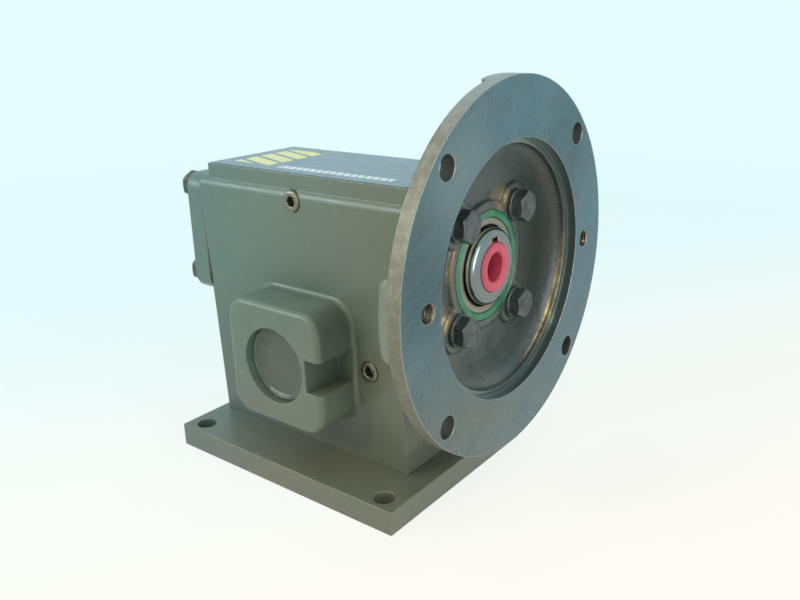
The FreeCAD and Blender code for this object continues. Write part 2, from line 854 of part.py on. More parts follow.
def seal_rings(label, middle_axis, face, width, radius, wall, shaft, placement):
    """Seal case with an inward flange, and the sprung lip inside it."""
    case = new_body(f"{label}_case")
    lip = new_body(f"{label}_lip")
    inner = radius - wall
    spin(case, "Revolution", [
        (face - width, shaft + wall),
        (face - width, radius),
        (face, radius),
        (face, inner),
        (face - width + wall * 0.5, inner),
        (face - width + wall * 0.5, shaft + wall),
    ])
    spin(lip, "Revolution", [
        (face - width + wall * 0.5, shaft + wall * 0.5),
        (face - width + wall * 0.5, inner - s.seat_gap),
        (face - s.lip_setback, inner - s.seat_gap),
        (face - s.lip_setback, shaft + wall * 0.5),
        (face - wall, shaft + s.run_gap),
        (face - wall - s.lip_flat, shaft + s.run_gap),
    ])
    for body in (case, lip):
        place(body, middle_axis, placement)
        keep(body)


# Worm shaft, local origin on the worm axis over the output shaft

def worm_thread():
    """One start of the worm, a straight-sided profile swept along its helix."""
    module = SIZES["axial_module"]
    pitch = math.pi * module
    mean = SIZES["worm_pitch_radius"]
    tip = mean + SIZES["worm_addendum"]
    root = mean - SIZES["worm_dedendum"]
    slope = math.tan(math.radians(SIZES["pressure_angle"]))
    half = pitch / 4 - SIZES["worm_flank_gap"]
    inner = root - SIZES["trim_margin"]
    length = pitch * SIZES["worm_turns"]
    corners = [
        Vector(radius, 0, side * (half - (radius - mean) * slope))
        for radius, side in ((inner, -1), (tip, -1), (tip, 1), (inner, 1))
    ]
    profile = Part.makePolygon(corners + corners[:1])
    helix = Part.makeHelix(pitch, length, mean)
    thread = Part.Wire(helix.Edges).makePipeShell([profile], True, True)
    thing = doc.addObject("Part::Feature", "worm_thread")
    thing.Shape = thread
    thing.Placement = Placement(Vector(-length / 2, 0, worm_height.value), TO_X)
    return thing


def worm_shaft():
    body = new_body("worm_core", z=worm_height)
    root = s.worm_pitch_radius - s.worm_dedendum
    collar_front = front_middle - s.front_half
    shoulder = rear_middle + s.rear_half
    groove_front = rear_middle - s.rear_half
    groove_floor = s.worm_rear_radius - s.ring_groove_depth
    core = spin(body, "Revolution", [
        (-(s.case_rear - s.worm_rear_gap), ZERO),
        (-(s.case_rear - s.worm_rear_gap), s.worm_rear_radius),
        (groove_front - s.ring_thickness - s.seat_gap, s.worm_rear_radius),
        (groove_front - s.ring_thickness - s.seat_gap, groove_floor),
        (groove_front, groove_floor),
        (groove_front, s.worm_rear_radius),
        (shoulder, s.worm_rear_radius),
        (shoulder, s.worm_rear_radius + s.worm_rear_shoulder),
        (-s.worm_tail_start, s.worm_rear_radius + s.worm_rear_shoulder),
        (s.quill_collar - s.worm_tail_start, root),
        (s.quill_body_end - s.quill_collar, root),
        (s.quill_body_end, s.quill_radius),
        (collar_front - s.quill_collar, s.quill_radius),
        (collar_front - s.quill_collar, s.quill_radius + s.quill_collar_rise),
        (collar_front, s.quill_radius + s.quill_collar_rise),
        (collar_front, s.quill_radius),
        (quill_end, s.quill_radius),
        (quill_end, ZERO),
    ])

    def at_quill_end(edge):
        return edge.BoundBox.XMin > quill_end.value - TOUCH

    round_edges(body, core, s.quill_round, at_quill_end)
    bore = new_body("quill_bore", z=worm_height)
    spin(bore, "Revolution", [
        (quill_bore_end, ZERO),
        (quill_bore_end, s.quill_bore_radius),
        (quill_end - s.quill_mouth_depth, s.quill_bore_radius),
        (quill_end - s.quill_mouth_depth, quill_mouth_radius),
        (quill_end + s.trim_margin, quill_mouth_radius),
        (quill_end + s.trim_margin, ZERO),
    ])
    keyway = block("quill_keyway", (quill_bore_end, s.quill_key_width * -0.5, worm_height),
                   (quill_end + s.trim_margin - quill_bore_end, s.quill_key_width,
                    s.quill_bore_radius + s.quill_key_depth))
    turned = join("Fuse", "worm_turned", body, worm_thread())
    bored = join("Cut", "worm_bored", turned, bore)
    return keep(join("Cut", "worm_shaft", bored, keyway))


def retaining_ring():
    body = new_body("worm_retaining_ring", z=worm_height)
    face = rear_middle - s.rear_half
    inner = s.worm_rear_radius - s.ring_groove_depth + s.seat_gap
    spin(body, "Revolution", [
        (face - s.ring_thickness, inner),
        (face - s.ring_thickness, s.worm_rear_radius + s.ring_proud),
        (face, s.worm_rear_radius + s.ring_proud),
        (face, inner),
    ])
    return keep(body)


def quill_plug():
    body = new_body("quill_plug", x=quill_end, z=worm_height)
    inner = quill_plug_radius - s.plug_wall
    spin(body, "Revolution", [
        (-s.quill_mouth_depth, ZERO),
        (-s.quill_mouth_depth, quill_plug_radius),
        (s.plug_proud - s.plug_chamfer, quill_plug_radius),
        (s.plug_proud, quill_plug_radius - s.plug_chamfer),
        (s.plug_proud, inner),
        (s.plug_floor - s.quill_mouth_depth, inner),
        (s.plug_floor - s.quill_mouth_depth, ZERO),
    ])
    return keep(body)


# Worm wheel and output shaft, local origin on the output axis under the worm

def wheel_teeth():
    """Toothed disc whose flanks follow involutes, twisted to the lead of the worm."""
    module = SIZES["axial_module"]
    teeth = SIZES["wheel_teeth"]
    pitch = pitch_radius.value
    angle = math.radians(SIZES["pressure_angle"])
    base = pitch * math.cos(angle)
    root = pitch - SIZES["wheel_dedendum"]
    tip = pitch + SIZES["wheel_edge_tip"] + SIZES["trim_margin"]
    half = math.pi / (2 * teeth) - SIZES["wheel_flank_gap"] / pitch

    def half_angle(radius):
        roll = math.acos(min(1.0, base / radius))
        return half + math.tan(angle) - angle - math.tan(roll) + roll

    def spot(radius, turned, y):
        return Vector(radius * math.sin(turned), y, radius * math.cos(turned))

    twist = module / (2 * SIZES["worm_pitch_radius"] * pitch)
    flank = (root, (root + tip) / 2, tip)

    def section(y):
        edges = []
        for i in range(teeth):
            centre = (i + 0.5) * 2 * math.pi / teeth + twist * y
            rising = [spot(r, centre - half_angle(r), y) for r in flank]
            falling = [spot(r, centre + half_angle(r), y) for r in reversed(flank)]
            root_after = spot(root, centre + 2 * math.pi / teeth - half_angle(root), y)
            edges.append(Part.Arc(*rising).toShape())
            edges.append(Part.LineSegment(rising[2], falling[0]).toShape())
            edges.append(Part.Arc(*falling).toShape())
            edges.append(Part.LineSegment(falling[2], root_after).toShape())
        return Part.Wire(edges)

    reach = SIZES["wheel_width"] / 2 + SIZES["trim_margin"]
    thing = doc.addObject("Part::Feature", "wheel_teeth")
    thing.Shape = Part.makeLoft([section(y) for y in (-reach, 0.0, reach)], True, False)
    thing.Placement = Placement(Vector(0, 0, output_z.value), Rotation())
    return thing


def worm_wheel():
    """Bronze rim: the toothed disc trimmed to a throated blank."""
    body = new_body("wheel_blank", z=output_z)
    reach = s.wheel_width * 0.5
    sketch = new_sketch(body, "XY_Plane")
    outline(sketch, [
        (wheel_rim_radius + s.seat_gap, -reach),
        (pitch_radius + s.wheel_edge_tip, -reach),
        (pitch_radius + s.wheel_tip, -s.throat_half),
        (pitch_radius + s.wheel_tip, s.throat_half),
        (pitch_radius + s.wheel_edge_tip, reach),
        (wheel_rim_radius + s.seat_gap, reach),
    ])
    turn(body, "Revolution", sketch, "V_Axis")
    return keep(join("Common", "worm_wheel", body, wheel_teeth()))


def wheel_hub():
    body = new_body("wheel_hub", z=output_z)
    half = s.hub_width * 0.5
    spin(body, "Revolution", [
        (s.shaft_wheel_radius + s.seat_gap, -half),
        (wheel_rim_radius, -half),
        (wheel_rim_radius, half),
        (s.shaft_wheel_radius + s.seat_gap, half),
    ], axis="V_Axis", role="XY_Plane")
    sketch = new_sketch(body, "XZ_Plane", half)
    key_half = s.wheel_key_width * 0.5 + s.seat_gap
    key_top = s.shaft_wheel_radius - s.wheel_key_seat + s.wheel_key_height + s.end_gap
    outline(sketch, [(-key_half, ZERO), (key_half, ZERO), (key_half, key_top), (-key_half, key_top)])
    extrude(body, "Pocket", sketch, s.hub_width)
    return keep(body)


def output_shaft():
    body = new_body("output_shaft", z=output_z)
    hub_half = s.hub_width * 0.5
    seat_start = drive_middle - s.drive_half
    spin(body, "Revolution", [
        (ZERO, -shaft_tail_end),
        (s.shaft_tail_radius, -shaft_tail_end),
        (s.shaft_tail_radius, -hub_half),
        (s.shaft_wheel_radius, -hub_half),
        (s.shaft_wheel_radius, hub_half),
        (s.shaft_wheel_radius + s.shaft_collar_rise, hub_half),
        (s.shaft_wheel_radius + s.shaft_collar_rise, seat_start),
        (s.shaft_seat_radius, seat_start),
        (s.shaft_seat_radius, shaft_shoulder),
        (s.shaft_radius, shaft_shoulder),
        (s.shaft_radius, shaft_end),
        (ZERO, shaft_end),
    ], axis="V_Axis", role="XY_Plane")
    half = s.shaft_key * 0.5
    key_end = shaft_end - s.shaft_key_inset
    key_start = key_end - s.shaft_key_length
    sketch = new_sketch(body, "XY_Plane", s.shaft_radius)
    outline(sketch, [(-half, key_start), (half, key_start), (half, key_end), (-half, key_end)])
    extrude(body, "Pocket", sketch, half)
    half = s.wheel_key_width * 0.5 + s.seat_gap
    reach = s.wheel_key_length * 0.5 + s.seat_gap
    sketch = new_sketch(body, "XY_Plane", s.shaft_wheel_radius + s.wheel_key_height)
    outline(sketch, [(-half, -reach), (half, -reach), (half, reach), (-half, reach)])
    extrude(body, "Pocket", sketch, s.wheel_key_height + s.wheel_key_seat)
    return keep(body)


def wheel_key():
    start = (s.wheel_key_width * -0.5, s.wheel_key_length * -0.5,
             output_z + s.shaft_wheel_radius - s.wheel_key_seat)
    return keep(block("wheel_key", start, (s.wheel_key_width, s.wheel_key_length, s.wheel_key_height)))


def bearing_spacer():
    body = new_body("bearing_spacer", z=output_z)
    inner = s.shaft_tail_radius + s.seat_gap
    start = tail_middle + s.tail_half
    spin(body, "Revolution", [
        (inner, start),
        (s.shaft_tail_radius + s.spacer_wall, start),
        (s.shaft_tail_radius + s.spacer_wall, s.hub_width * -0.5),
        (inner, s.hub_width * -0.5),
    ], axis="V_Axis", role="XY_Plane")
    return keep(body)


def output_cover():
    body = new_body("output_cover", z=output_z)
    plate_back = s.facing_y + s.gasket
    sketch = new_sketch(body, "XZ_Plane", -plate_back)
    rounded_box(sketch, -plate_half, plate_half, -plate_half, plate_half, s.plate_corner)
    extrude(body, "Pad", sketch, s.plate_thickness, backwards=True)
    bearing_end = drive_middle + s.drive_half + s.end_gap
    seal_start = cover_boss_end - s.out_seal_width - s.end_gap
    bore = s.drive_outside + s.seat_gap
    spin(body, "Revolution", [
        (bore, spigot_inner),
        (s.spigot_radius, spigot_inner),
        (s.spigot_radius, plate_back),
        (cover_boss_radius, plate_back + s.plate_thickness),
        (cover_boss_radius - s.cover_boss_taper, cover_boss_end),
        (s.out_seal_radius + s.seat_gap, cover_boss_end),
        (s.out_seal_radius + s.seat_gap, seal_start),
        (bore, seal_start),
    ], axis="V_Axis", role="XY_Plane")
    shaft_hole = s.shaft_seat_radius + s.out_seal_wall
    spin(body, "Groove", [
        (ZERO, spigot_inner),
        (bore, spigot_inner),
        (bore, bearing_end),
        (shaft_hole, bearing_end),
        (shaft_hole, seal_start),
        (s.out_seal_radius + s.seat_gap, seal_start),
        (s.out_seal_radius + s.seat_gap, cover_boss_end),
        (ZERO, cover_boss_end),
    ], axis="V_Axis", role="XY_Plane")
    sketch = new_sketch(body, "XZ_Plane", -plate_back)
    for side, up in QUARTERS:
        circle(sketch, plate_bolt_spread * side, plate_bolt_spread * up, s.plate_bolt_hole)
    extrude(body, "Pocket", sketch, s.plate_thickness)
    return keep(body)


def output_gasket():
    body = new_body("output_cover_gasket", z=output_z)
    sketch = new_sketch(body, "XZ_Plane", -s.facing_y)
    rounded_box(sketch, -plate_half, plate_half, -plate_half, plate_half, s.plate_corner)
    circle(sketch, ZERO, ZERO, s.spigot_radius + s.seat_gap)
    for side, up in QUARTERS:
        circle(sketch, plate_bolt_spread * side, plate_bolt_spread * up, s.plate_bolt_hole)
    extrude(body, "Pad", sketch, s.gasket, backwards=True)
    return keep(body)


def bore_cap():
    body = new_body("bore_cap", z=output_z)
    face = s.cap_recess - s.boss_face
    spin(body, "Revolution", [
        (ZERO, face),
        (cap_radius, face),
        (cap_radius, face + s.cap_thickness),
        (ZERO, face + s.cap_thickness),
    ], axis="V_Axis", role="XY_Plane")
    return keep(body)


# Ball bearings, local axis along X

def ball_bearing(label, name, bore, spot, rotation):
    """Two grooved rings, a caged set of balls and the cage."""
    part = {key: getattr(s, f"{name}_{key}") for key in ("outside", "half", "ball", "land")}
    part["circle"] = (bore + part["outside"]) * 0.5
    count = SIZES[f"{name}_count"]
    groove = part["ball"] + s.race_gap
    rings = (
        ("outer_ring", part["circle"] + part["land"], part["outside"]),
        ("inner_ring", bore + s.seat_gap, part["circle"] - part["land"]),
    )
    for ring, low, high in rings:
        body = new_body(f"{label}_{ring}")
        spin(body, "Revolution", [
            (-part["half"], low),
            (-part["half"], high),
            (part["half"], high),
            (part["half"], low),
        ])
        sketch = new_sketch(body, "XZ_Plane")
        circle(sketch, ZERO, part["circle"], groove)
        turn(body, "Groove", sketch)
        place(body, spot, rotation)
        keep(body)

    balls = []
    pockets = []
    for i in range(count):
        turned = 2 * math.pi * i / count
        ball = doc.addObject("Part::Sphere", f"{label}_ball{i + 1}")
        bind(ball, "Radius", part["ball"])
        bind(ball, "Placement.Base.y", part["circle"] * -math.sin(turned))
        bind(ball, "Placement.Base.z", part["circle"] * math.cos(turned))
        balls.append(ball)
        pocket = doc.addObject("Part::Cylinder", f"{label}_pocket{i + 1}")
        bind(pocket, "Radius", groove)
        bind(pocket, "Height", part["outside"])
        pocket.Placement = Placement(Vector(), Rotation(Vector(1, 0, 0), math.degrees(turned)))
        pockets.append(pocket)
    place(keep(compound(f"{label}_balls", balls)), spot, rotation)

    inner = part["circle"] - s.cage_thickness * 0.5
    reach = part["ball"] + s.cage_margin
    strip = new_body(f"{label}_strip")
    spin(strip, "Revolution", [
        (-reach, inner),
        (-reach, inner + s.cage_thickness),
        (reach, inner + s.cage_thickness),
        (reach, inner),
    ])
    cage = join("Cut", f"{label}_cage", strip, compound(f"{label}_pockets", pockets))
    place(keep(cage), spot, rotation)


def build():
    gear_housing()
    pipe_plugs()
    base_plate()
    base_screws()
    motor_flange()
    front_square = (-cover_half, cover_half, -cover_drop, cover_rise, s.cover_corner)
    gasket_plate("flange_gasket", s.case_front, *front_square, s.front_outside + s.seat_gap)
    gasket_plate("rear_cover_gasket", -s.case_rear - s.gasket, *front_square, s.rear_outside + s.seat_gap)
    rear_cover()
    spread = [(bolt_spread * side, worm_height + bolt_spread * up) for side, up in QUARTERS]
    bolt = (s.bolt_across_flats, s.bolt_head, s.bolt_radius)
    seat = flange_face - s.seal_ring_depth + s.bolt_washer
    hex_bolts("flange_bolts", [(seat, y, z) for y, z in spread], TO_X, *bolt,
              seat - s.case_front + s.bolt_grip, (s.bolt_washer, s.bolt_washer_radius))
    seat = -s.case_rear - s.gasket - s.cover_thickness
    hex_bolts("rear_cover_bolts", [(seat, y, z) for y, z in spread], TO_REAR, *bolt,
              s.gasket + s.cover_thickness + s.bolt_grip)
    seat = s.facing_y + s.gasket + s.plate_thickness
    spots = [(plate_bolt_spread * side, seat, output_z + plate_bolt_spread * up) for side, up in QUARTERS]
    hex_bolts("output_cover_bolts", spots, TO_Y, s.plate_bolt_flats, s.plate_bolt_head, s.plate_bolt_radius,
              s.gasket + s.plate_thickness + s.plate_bolt_grip)
    along_y = Rotation(Vector(0, 0, 1), 90)
    seal_rings("input_seal", (ZERO, ZERO, worm_height), flange_face - s.seal_ring_depth, s.seal_width,
               s.seal_radius, s.seal_wall, s.quill_radius, Rotation())
    seal_rings("output_seal", (ZERO, ZERO, output_z), cover_boss_end, s.out_seal_width,
               s.out_seal_radius, s.out_seal_wall, s.shaft_seat_radius, along_y)
    worm_shaft()
    retaining_ring()
    quill_plug()
    worm_wheel()
    wheel_hub()
    output_shaft()
    wheel_key()
    bearing_spacer()
    output_cover()
    output_gasket()
    bore_cap()
    front, rear = ((x, ZERO, worm_height) for x in (front_middle, rear_middle))
    ball_bearing("worm_front_bearing", "front", s.quill_radius, front, Rotation())
    ball_bearing("worm_rear_bearing", "rear", s.worm_rear_radius, rear, Rotation())
    tail, drive = ((ZERO, y, output_z) for y in (tail_middle, drive_middle))
    ball_bearing("output_tail_bearing", "tail", s.shaft_tail_radius, tail, along_y)
    ball_bearing("output_drive_bearing", "drive", s.shaft_seat_radius, drive, along_y)


def check():
    doc.recompute()
    for thing in doc.Objects:
        if "Invalid" in thing.State or "Error" in thing.State:
            raise RuntimeError(f"{thing.Label} did not rebuild: {thing.State}")
    for thing in NODES:
        if thing.Shape.isNull() or not thing.Shape.isValid():
            raise RuntimeError(f"{thing.Label} has no valid shape")


def export():
    os.makedirs("parts", exist_ok=True)
    for thing in NODES:
        thing.Shape.exportStep(f"parts/{thing.Label}.step")


build()
check()
export()
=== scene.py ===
import json
import math

import bmesh
import bpy
from mathutils import Matrix, Vector

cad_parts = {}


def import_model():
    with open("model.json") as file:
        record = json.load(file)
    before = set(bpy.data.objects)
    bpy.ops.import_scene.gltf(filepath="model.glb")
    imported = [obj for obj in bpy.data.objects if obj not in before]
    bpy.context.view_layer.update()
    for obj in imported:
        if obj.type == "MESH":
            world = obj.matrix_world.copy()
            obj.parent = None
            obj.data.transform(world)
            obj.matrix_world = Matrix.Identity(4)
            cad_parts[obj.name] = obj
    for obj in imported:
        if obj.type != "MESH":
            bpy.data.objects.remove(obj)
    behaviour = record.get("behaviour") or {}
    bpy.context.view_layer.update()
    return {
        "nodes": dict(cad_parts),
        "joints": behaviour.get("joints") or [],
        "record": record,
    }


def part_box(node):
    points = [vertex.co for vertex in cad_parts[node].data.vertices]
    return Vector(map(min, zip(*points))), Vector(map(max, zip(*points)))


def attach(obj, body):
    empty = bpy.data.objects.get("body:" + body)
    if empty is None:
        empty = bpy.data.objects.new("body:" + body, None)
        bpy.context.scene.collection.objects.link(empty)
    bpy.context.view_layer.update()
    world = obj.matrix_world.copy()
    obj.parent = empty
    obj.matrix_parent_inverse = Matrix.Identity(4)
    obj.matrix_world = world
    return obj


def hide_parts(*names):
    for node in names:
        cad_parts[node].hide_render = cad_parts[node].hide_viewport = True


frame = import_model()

MM = 0.001

# Places read from the frame, in metres

MOUNTS = {mount["name"]: mount for mount in frame["record"]["mounts"]}
JOINTS = {joint["name"]: joint for joint in frame["joints"]}
WORM_Z = JOINTS["worm_spin"]["pos_m"][2]
OUTPUT_Z = JOINTS["output_spin"]["pos_m"][2]
FLANGE_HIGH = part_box("motor_flange")[1]
FLANGE_FACE = FLANGE_HIGH.x
FLANGE_RADIUS = FLANGE_HIGH.y
PILOT_RADIUS = MOUNTS["motor_pilot"]["dims"]["r_mm"] * MM
PILOT_DEPTH = MOUNTS["motor_pilot"]["dims"]["length_mm"] * MM
PILOT_FLOOR = FLANGE_FACE - PILOT_DEPTH
QUARTERS = ((1, 1), (-1, 1), (-1, -1), (1, -1))

# Sizes of the flange and the small hardware, as in the frame

RIM_WIDTH = 6.45 * MM
DISH_RADIUS = PILOT_RADIUS - 2.65 * MM
DISH_FLOOR = DISH_RADIUS - 10.4 * MM
BOLT_FLATS = 12.7 * MM
BOLT_HEAD = 5.4 * MM
BOLT_SHANK = 3.97 * MM
WASHER_THICK = 1.9 * MM
WASHER_RADIUS = 7.6 * MM
BOLT_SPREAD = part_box("flange_bolts")[1].y - WASHER_RADIUS
COVER_FLATS = 11.1 * MM
COVER_HEAD = 4.2 * MM
COVER_SHANK = 3.17 * MM
PLUG_RADIUS = 5.1 * MM
PLUG_LENGTH = 8.0 * MM
PLUG_SOCKET = 4.76 * MM
QUILL_RADIUS = 17.5 * MM
SHAFT_SEAT = 15.0 * MM
CUP_RIM = 4.2 * MM
THREAD_DEPTH = 0.4 * MM
THREAD_PITCH = 1.59 * MM
THREAD_LENGTH = 9.0 * MM

# Shares and angles of a hex head, with a thin washer face under it

HEX_CROWN = 0.47
HEX_FACE = 0.48
HEX_FACE_THICK = 0.4 * MM
HEX_CHAMFER = math.radians(28)
SHARP_ANGLE = math.radians(32)

# Plate on the pad of the case

PLATE_MARGIN = 6.0 * MM
PLATE_HALF = 30.5 * MM
PLATE_INSET = 0.8 * MM
PLATE_CORNER = 1.5 * MM
PLATE_LEVELS = ((0.0, 0.0), (0.25 * MM, 0.0), (0.35 * MM, 0.1 * MM))

# Camera, solved on the holes, base corners and top pad of the photograph

IMAGE_WIDTH = 800
FOCAL_PIXELS = 803.5
SENSOR_WIDTH = 36.0
CAMERA_SPOT = Vector((0.26455, -0.29262, 0.21809))
CAMERA_AZIMUTH = math.radians(38.03)
CAMERA_ELEVATION = math.radians(19.23)
CAMERA_ROLL = math.radians(-1.28)
CAMERA_REACH = 200.0

# Studio: floor tones, light all round, and lamps with spot, target, size, power and colour

FLOOR_SIZE = 60.0
FLOOR_TONE = (0.88, 0.85, 0.78, 1.0)
SWEEP_WARM = (1.0, 0.985, 0.935)
SWEEP_COOL = (0.78, 0.98, 1.0)
AMBIENT_TONE = (0.93, 0.98, 1.0, 1.0)
AMBIENT_LEVEL = 0.42
PART_MIDDLE = (0.0, 0.0, 0.09)
LAMPS = (
    ("left_soft", (-0.95, -1.05, 0.75), PART_MIDDLE, 0.7, 7.2, (0.94, 1.0, 1.0)),
    ("warm_left", (-0.30, -0.95, 0.70), (0.08, 0.0, 0.11), 0.16, 2.8, (1.0, 0.80, 0.50)),
    ("right_soft", (1.40, -0.30, 0.55), PART_MIDDLE, 1.0, 9.5, (0.90, 0.97, 1.0)),
    ("top_soft", (-0.20, 0.10, 1.35), PART_MIDDLE, 1.2, 5.0, (0.95, 1.0, 1.0)),
    ("warm_high", (0.55, -0.60, 1.10), PART_MIDDLE, 0.2, 2.0, (1.0, 0.82, 0.52)),
    ("low_fill", (0.95, -0.45, 0.16), (0.09, 0.0, 0.04), 0.5, 2.1, (0.86, 0.97, 1.0)),
    ("rear_cool", (-0.55, -0.50, 0.35), (-0.07, -0.03, 0.10), 0.4, 0.5, (0.60, 0.95, 1.0)),
)

# Tones of the paint, among them painted cool light, painted warm light and a painted edge highlight

PAINT_COOL_LIGHT = (0.078, 0.152, 0.143)
PAINT_WARM_LIGHT = (0.122, 0.144, 0.104)
PAINT_LOW_BROWN = (0.112, 0.105, 0.071)
PAINT_SPECK = (0.20, 0.22, 0.17)
PAINT_CHIP = (0.33, 0.30, 0.24)
PAINT_WORN_AND_HIGHLIGHT = (0.30, 0.28, 0.21)
BACK_DARK = (0.140, 0.165, 0.140)
BACK_PALE = (0.170, 0.195, 0.165)

# Tones of the flange's machined face, its painted edge highlight, and its patches of painted reflection:
# across and up in millimetres, share, tone

FACE_LOW = (0.140, 0.162, 0.146)
FACE_HIGH = (0.048, 0.146, 0.195)
FACE_RIGHT = (0.048, 0.172, 0.225)
FACE_PALE = (0.165, 0.235, 0.245)
FACE_STAIN = (0.126, 0.192, 0.208)
FACE_GREY = (0.108, 0.132, 0.142)
FACE_SMEAR = (0.075, 0.110, 0.125)
FACE_RINGS = (0.19, 0.26, 0.26)
FACE_SCRATCH = (0.23, 0.31, 0.31)
FACE_DULL = (0.060, 0.092, 0.102)
FACE_EDGE_HIGHLIGHT = (0.55, 0.54, 0.50)
FACE_REFLECTIONS = (
    (-42.0, 42.0, 0.6, (0.235, 0.285, 0.265)),
    (-68.0, 14.0, 0.8, (0.052, 0.090, 0.092)),
    (46.0, 50.0, 0.6, (0.040, 0.088, 0.102)),
    (-40.0, -58.0, 0.4, (0.135, 0.135, 0.100)),
)

# Tones of the flange's rim, with painted shade low down and a painted sky reflection on top, and of its
# pilot and holes

RIM_DARK = (0.125, 0.126, 0.098)
RIM_PALE = (0.198, 0.195, 0.152)
RIM_BRIGHT = (0.268, 0.258, 0.204)
RIM_LOW_SHADE = (0.100, 0.108, 0.078)
RIM_TOP_REFLECTION = (0.215, 0.270, 0.285)
PILOT_METAL = (0.145, 0.185, 0.178)
HOLE_WALL = (0.030, 0.035, 0.032)

# Tones of the dish's raw casting with its painted shade, and where its painted golden glint lies: two
# normal directions, and patches beside two bolts

CAST_DARK = (0.046, 0.064, 0.060)
CAST_PALE = (0.080, 0.096, 0.086)
CAST_BROWN = (0.150, 0.128, 0.080)
CAST_SHADE_HIGH = (0.030, 0.044, 0.044)
CAST_SHADE_RIGHT = (0.030, 0.037, 0.033)
GLINT_GOLD = (0.54, 0.39, 0.20)
GLINT_WALL_NORMAL = (0.10, -0.80, 0.59)
GLINT_SEAT_NORMAL = (0.50, -0.80, 0.33)
GLINT_PATCHES = (
    (BOLT_SPREAD - 12.0 * MM, BOLT_SPREAD + 5.0 * MM),
    (-BOLT_SPREAD - 11.0 * MM, 7.0 * MM - BOLT_SPREAD),
)

# Levels between which most of a noise lies

MOST = (0.3, 0.7)


# Mesh helpers

def new_piece(name, bm, body, material, replaced=None):
    """An object that rides a body, takes a material and stands in for a node where one is named."""
    bmesh.ops.recalc_face_normals(bm, faces=bm.faces)
    mesh = bpy.data.meshes.new(name)
    bm.to_mesh(mesh)
    bm.free()
    mesh.shade_smooth()
    mesh.set_sharp_from_angle(angle=SHARP_ANGLE)
    mesh.materials.append(material)
    piece = bpy.data.objects.new(name, mesh)
    bpy.context.scene.collection.objects.link(piece)
    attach(piece, body)
    if replaced:
        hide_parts(replaced)


def rounded(profile, radius, steps=4):
    """A closed profile with its corners rounded as far as its sides allow."""
    points = [Vector(point) for point in profile]
    result = []
    for i, corner in enumerate(points):
        before = points[i - 1] - corner
        after = points[(i + 1) % len(points)] - corner
        reach = min(radius, 0.45 * before.length, 0.45 * after.length)
        start = corner + before.normalized() * reach
        end = corner + after.normalized() * reach
        for step in range(steps + 1):
            t = step / steps
            result.append(start * (1 - t) ** 2 + corner * (2 * t * (1 - t)) + end * t ** 2)
    return result


def hexagon(flats):
    """Radius of a hexagon at an angle, with a corner at angle zero."""
    def radius(angle):
        lean = (angle + math.pi / 6) % (math.pi / 3) - math.pi / 6
        return flats / 2 / math.cos(math.pi / 6 - abs(lean))
    return radius


def joined(bm, loops):
    """Quads between each loop of points and the next."""
    for first, second in loops:
        for i in range(len(first)):
            j = (i + 1) % len(first)
            bm.faces.new((first[i], first[j], second[j], second[i]))


def turned(bm, rings, place, closed=False, segments=72):
    """Joins rings of (along, radius) about the local X axis; either may be a function of the angle."""
    loops = []
    for along, radius in rings:
        loop = []
        for i in range(segments):
            angle = 2 * math.pi * i / segments
            r = radius(angle) if callable(radius) else radius
            x = along(angle) if callable(along) else along
            loop.append(bm.verts.new(place @ Vector((x, r * math.cos(angle), r * math.sin(angle)))))
        loops.append(loop)
    pairs = list(zip(loops, loops[1:]))
    if closed:
        pairs.append((loops[-1], loops[0]))
    else:
        bm.faces.new(loops[0])
        bm.faces.new(loops[-1])
    joined(bm, pairs)


def facing(spot, direction, first):
    """A place at spot with local X along a direction and local Y along another."""
    x = Vector(direction)
    y = Vector(first)
    return Matrix.Translation(spot) @ Matrix((x, y, x.cross(y))).transposed().to_4x4()


# Node helpers

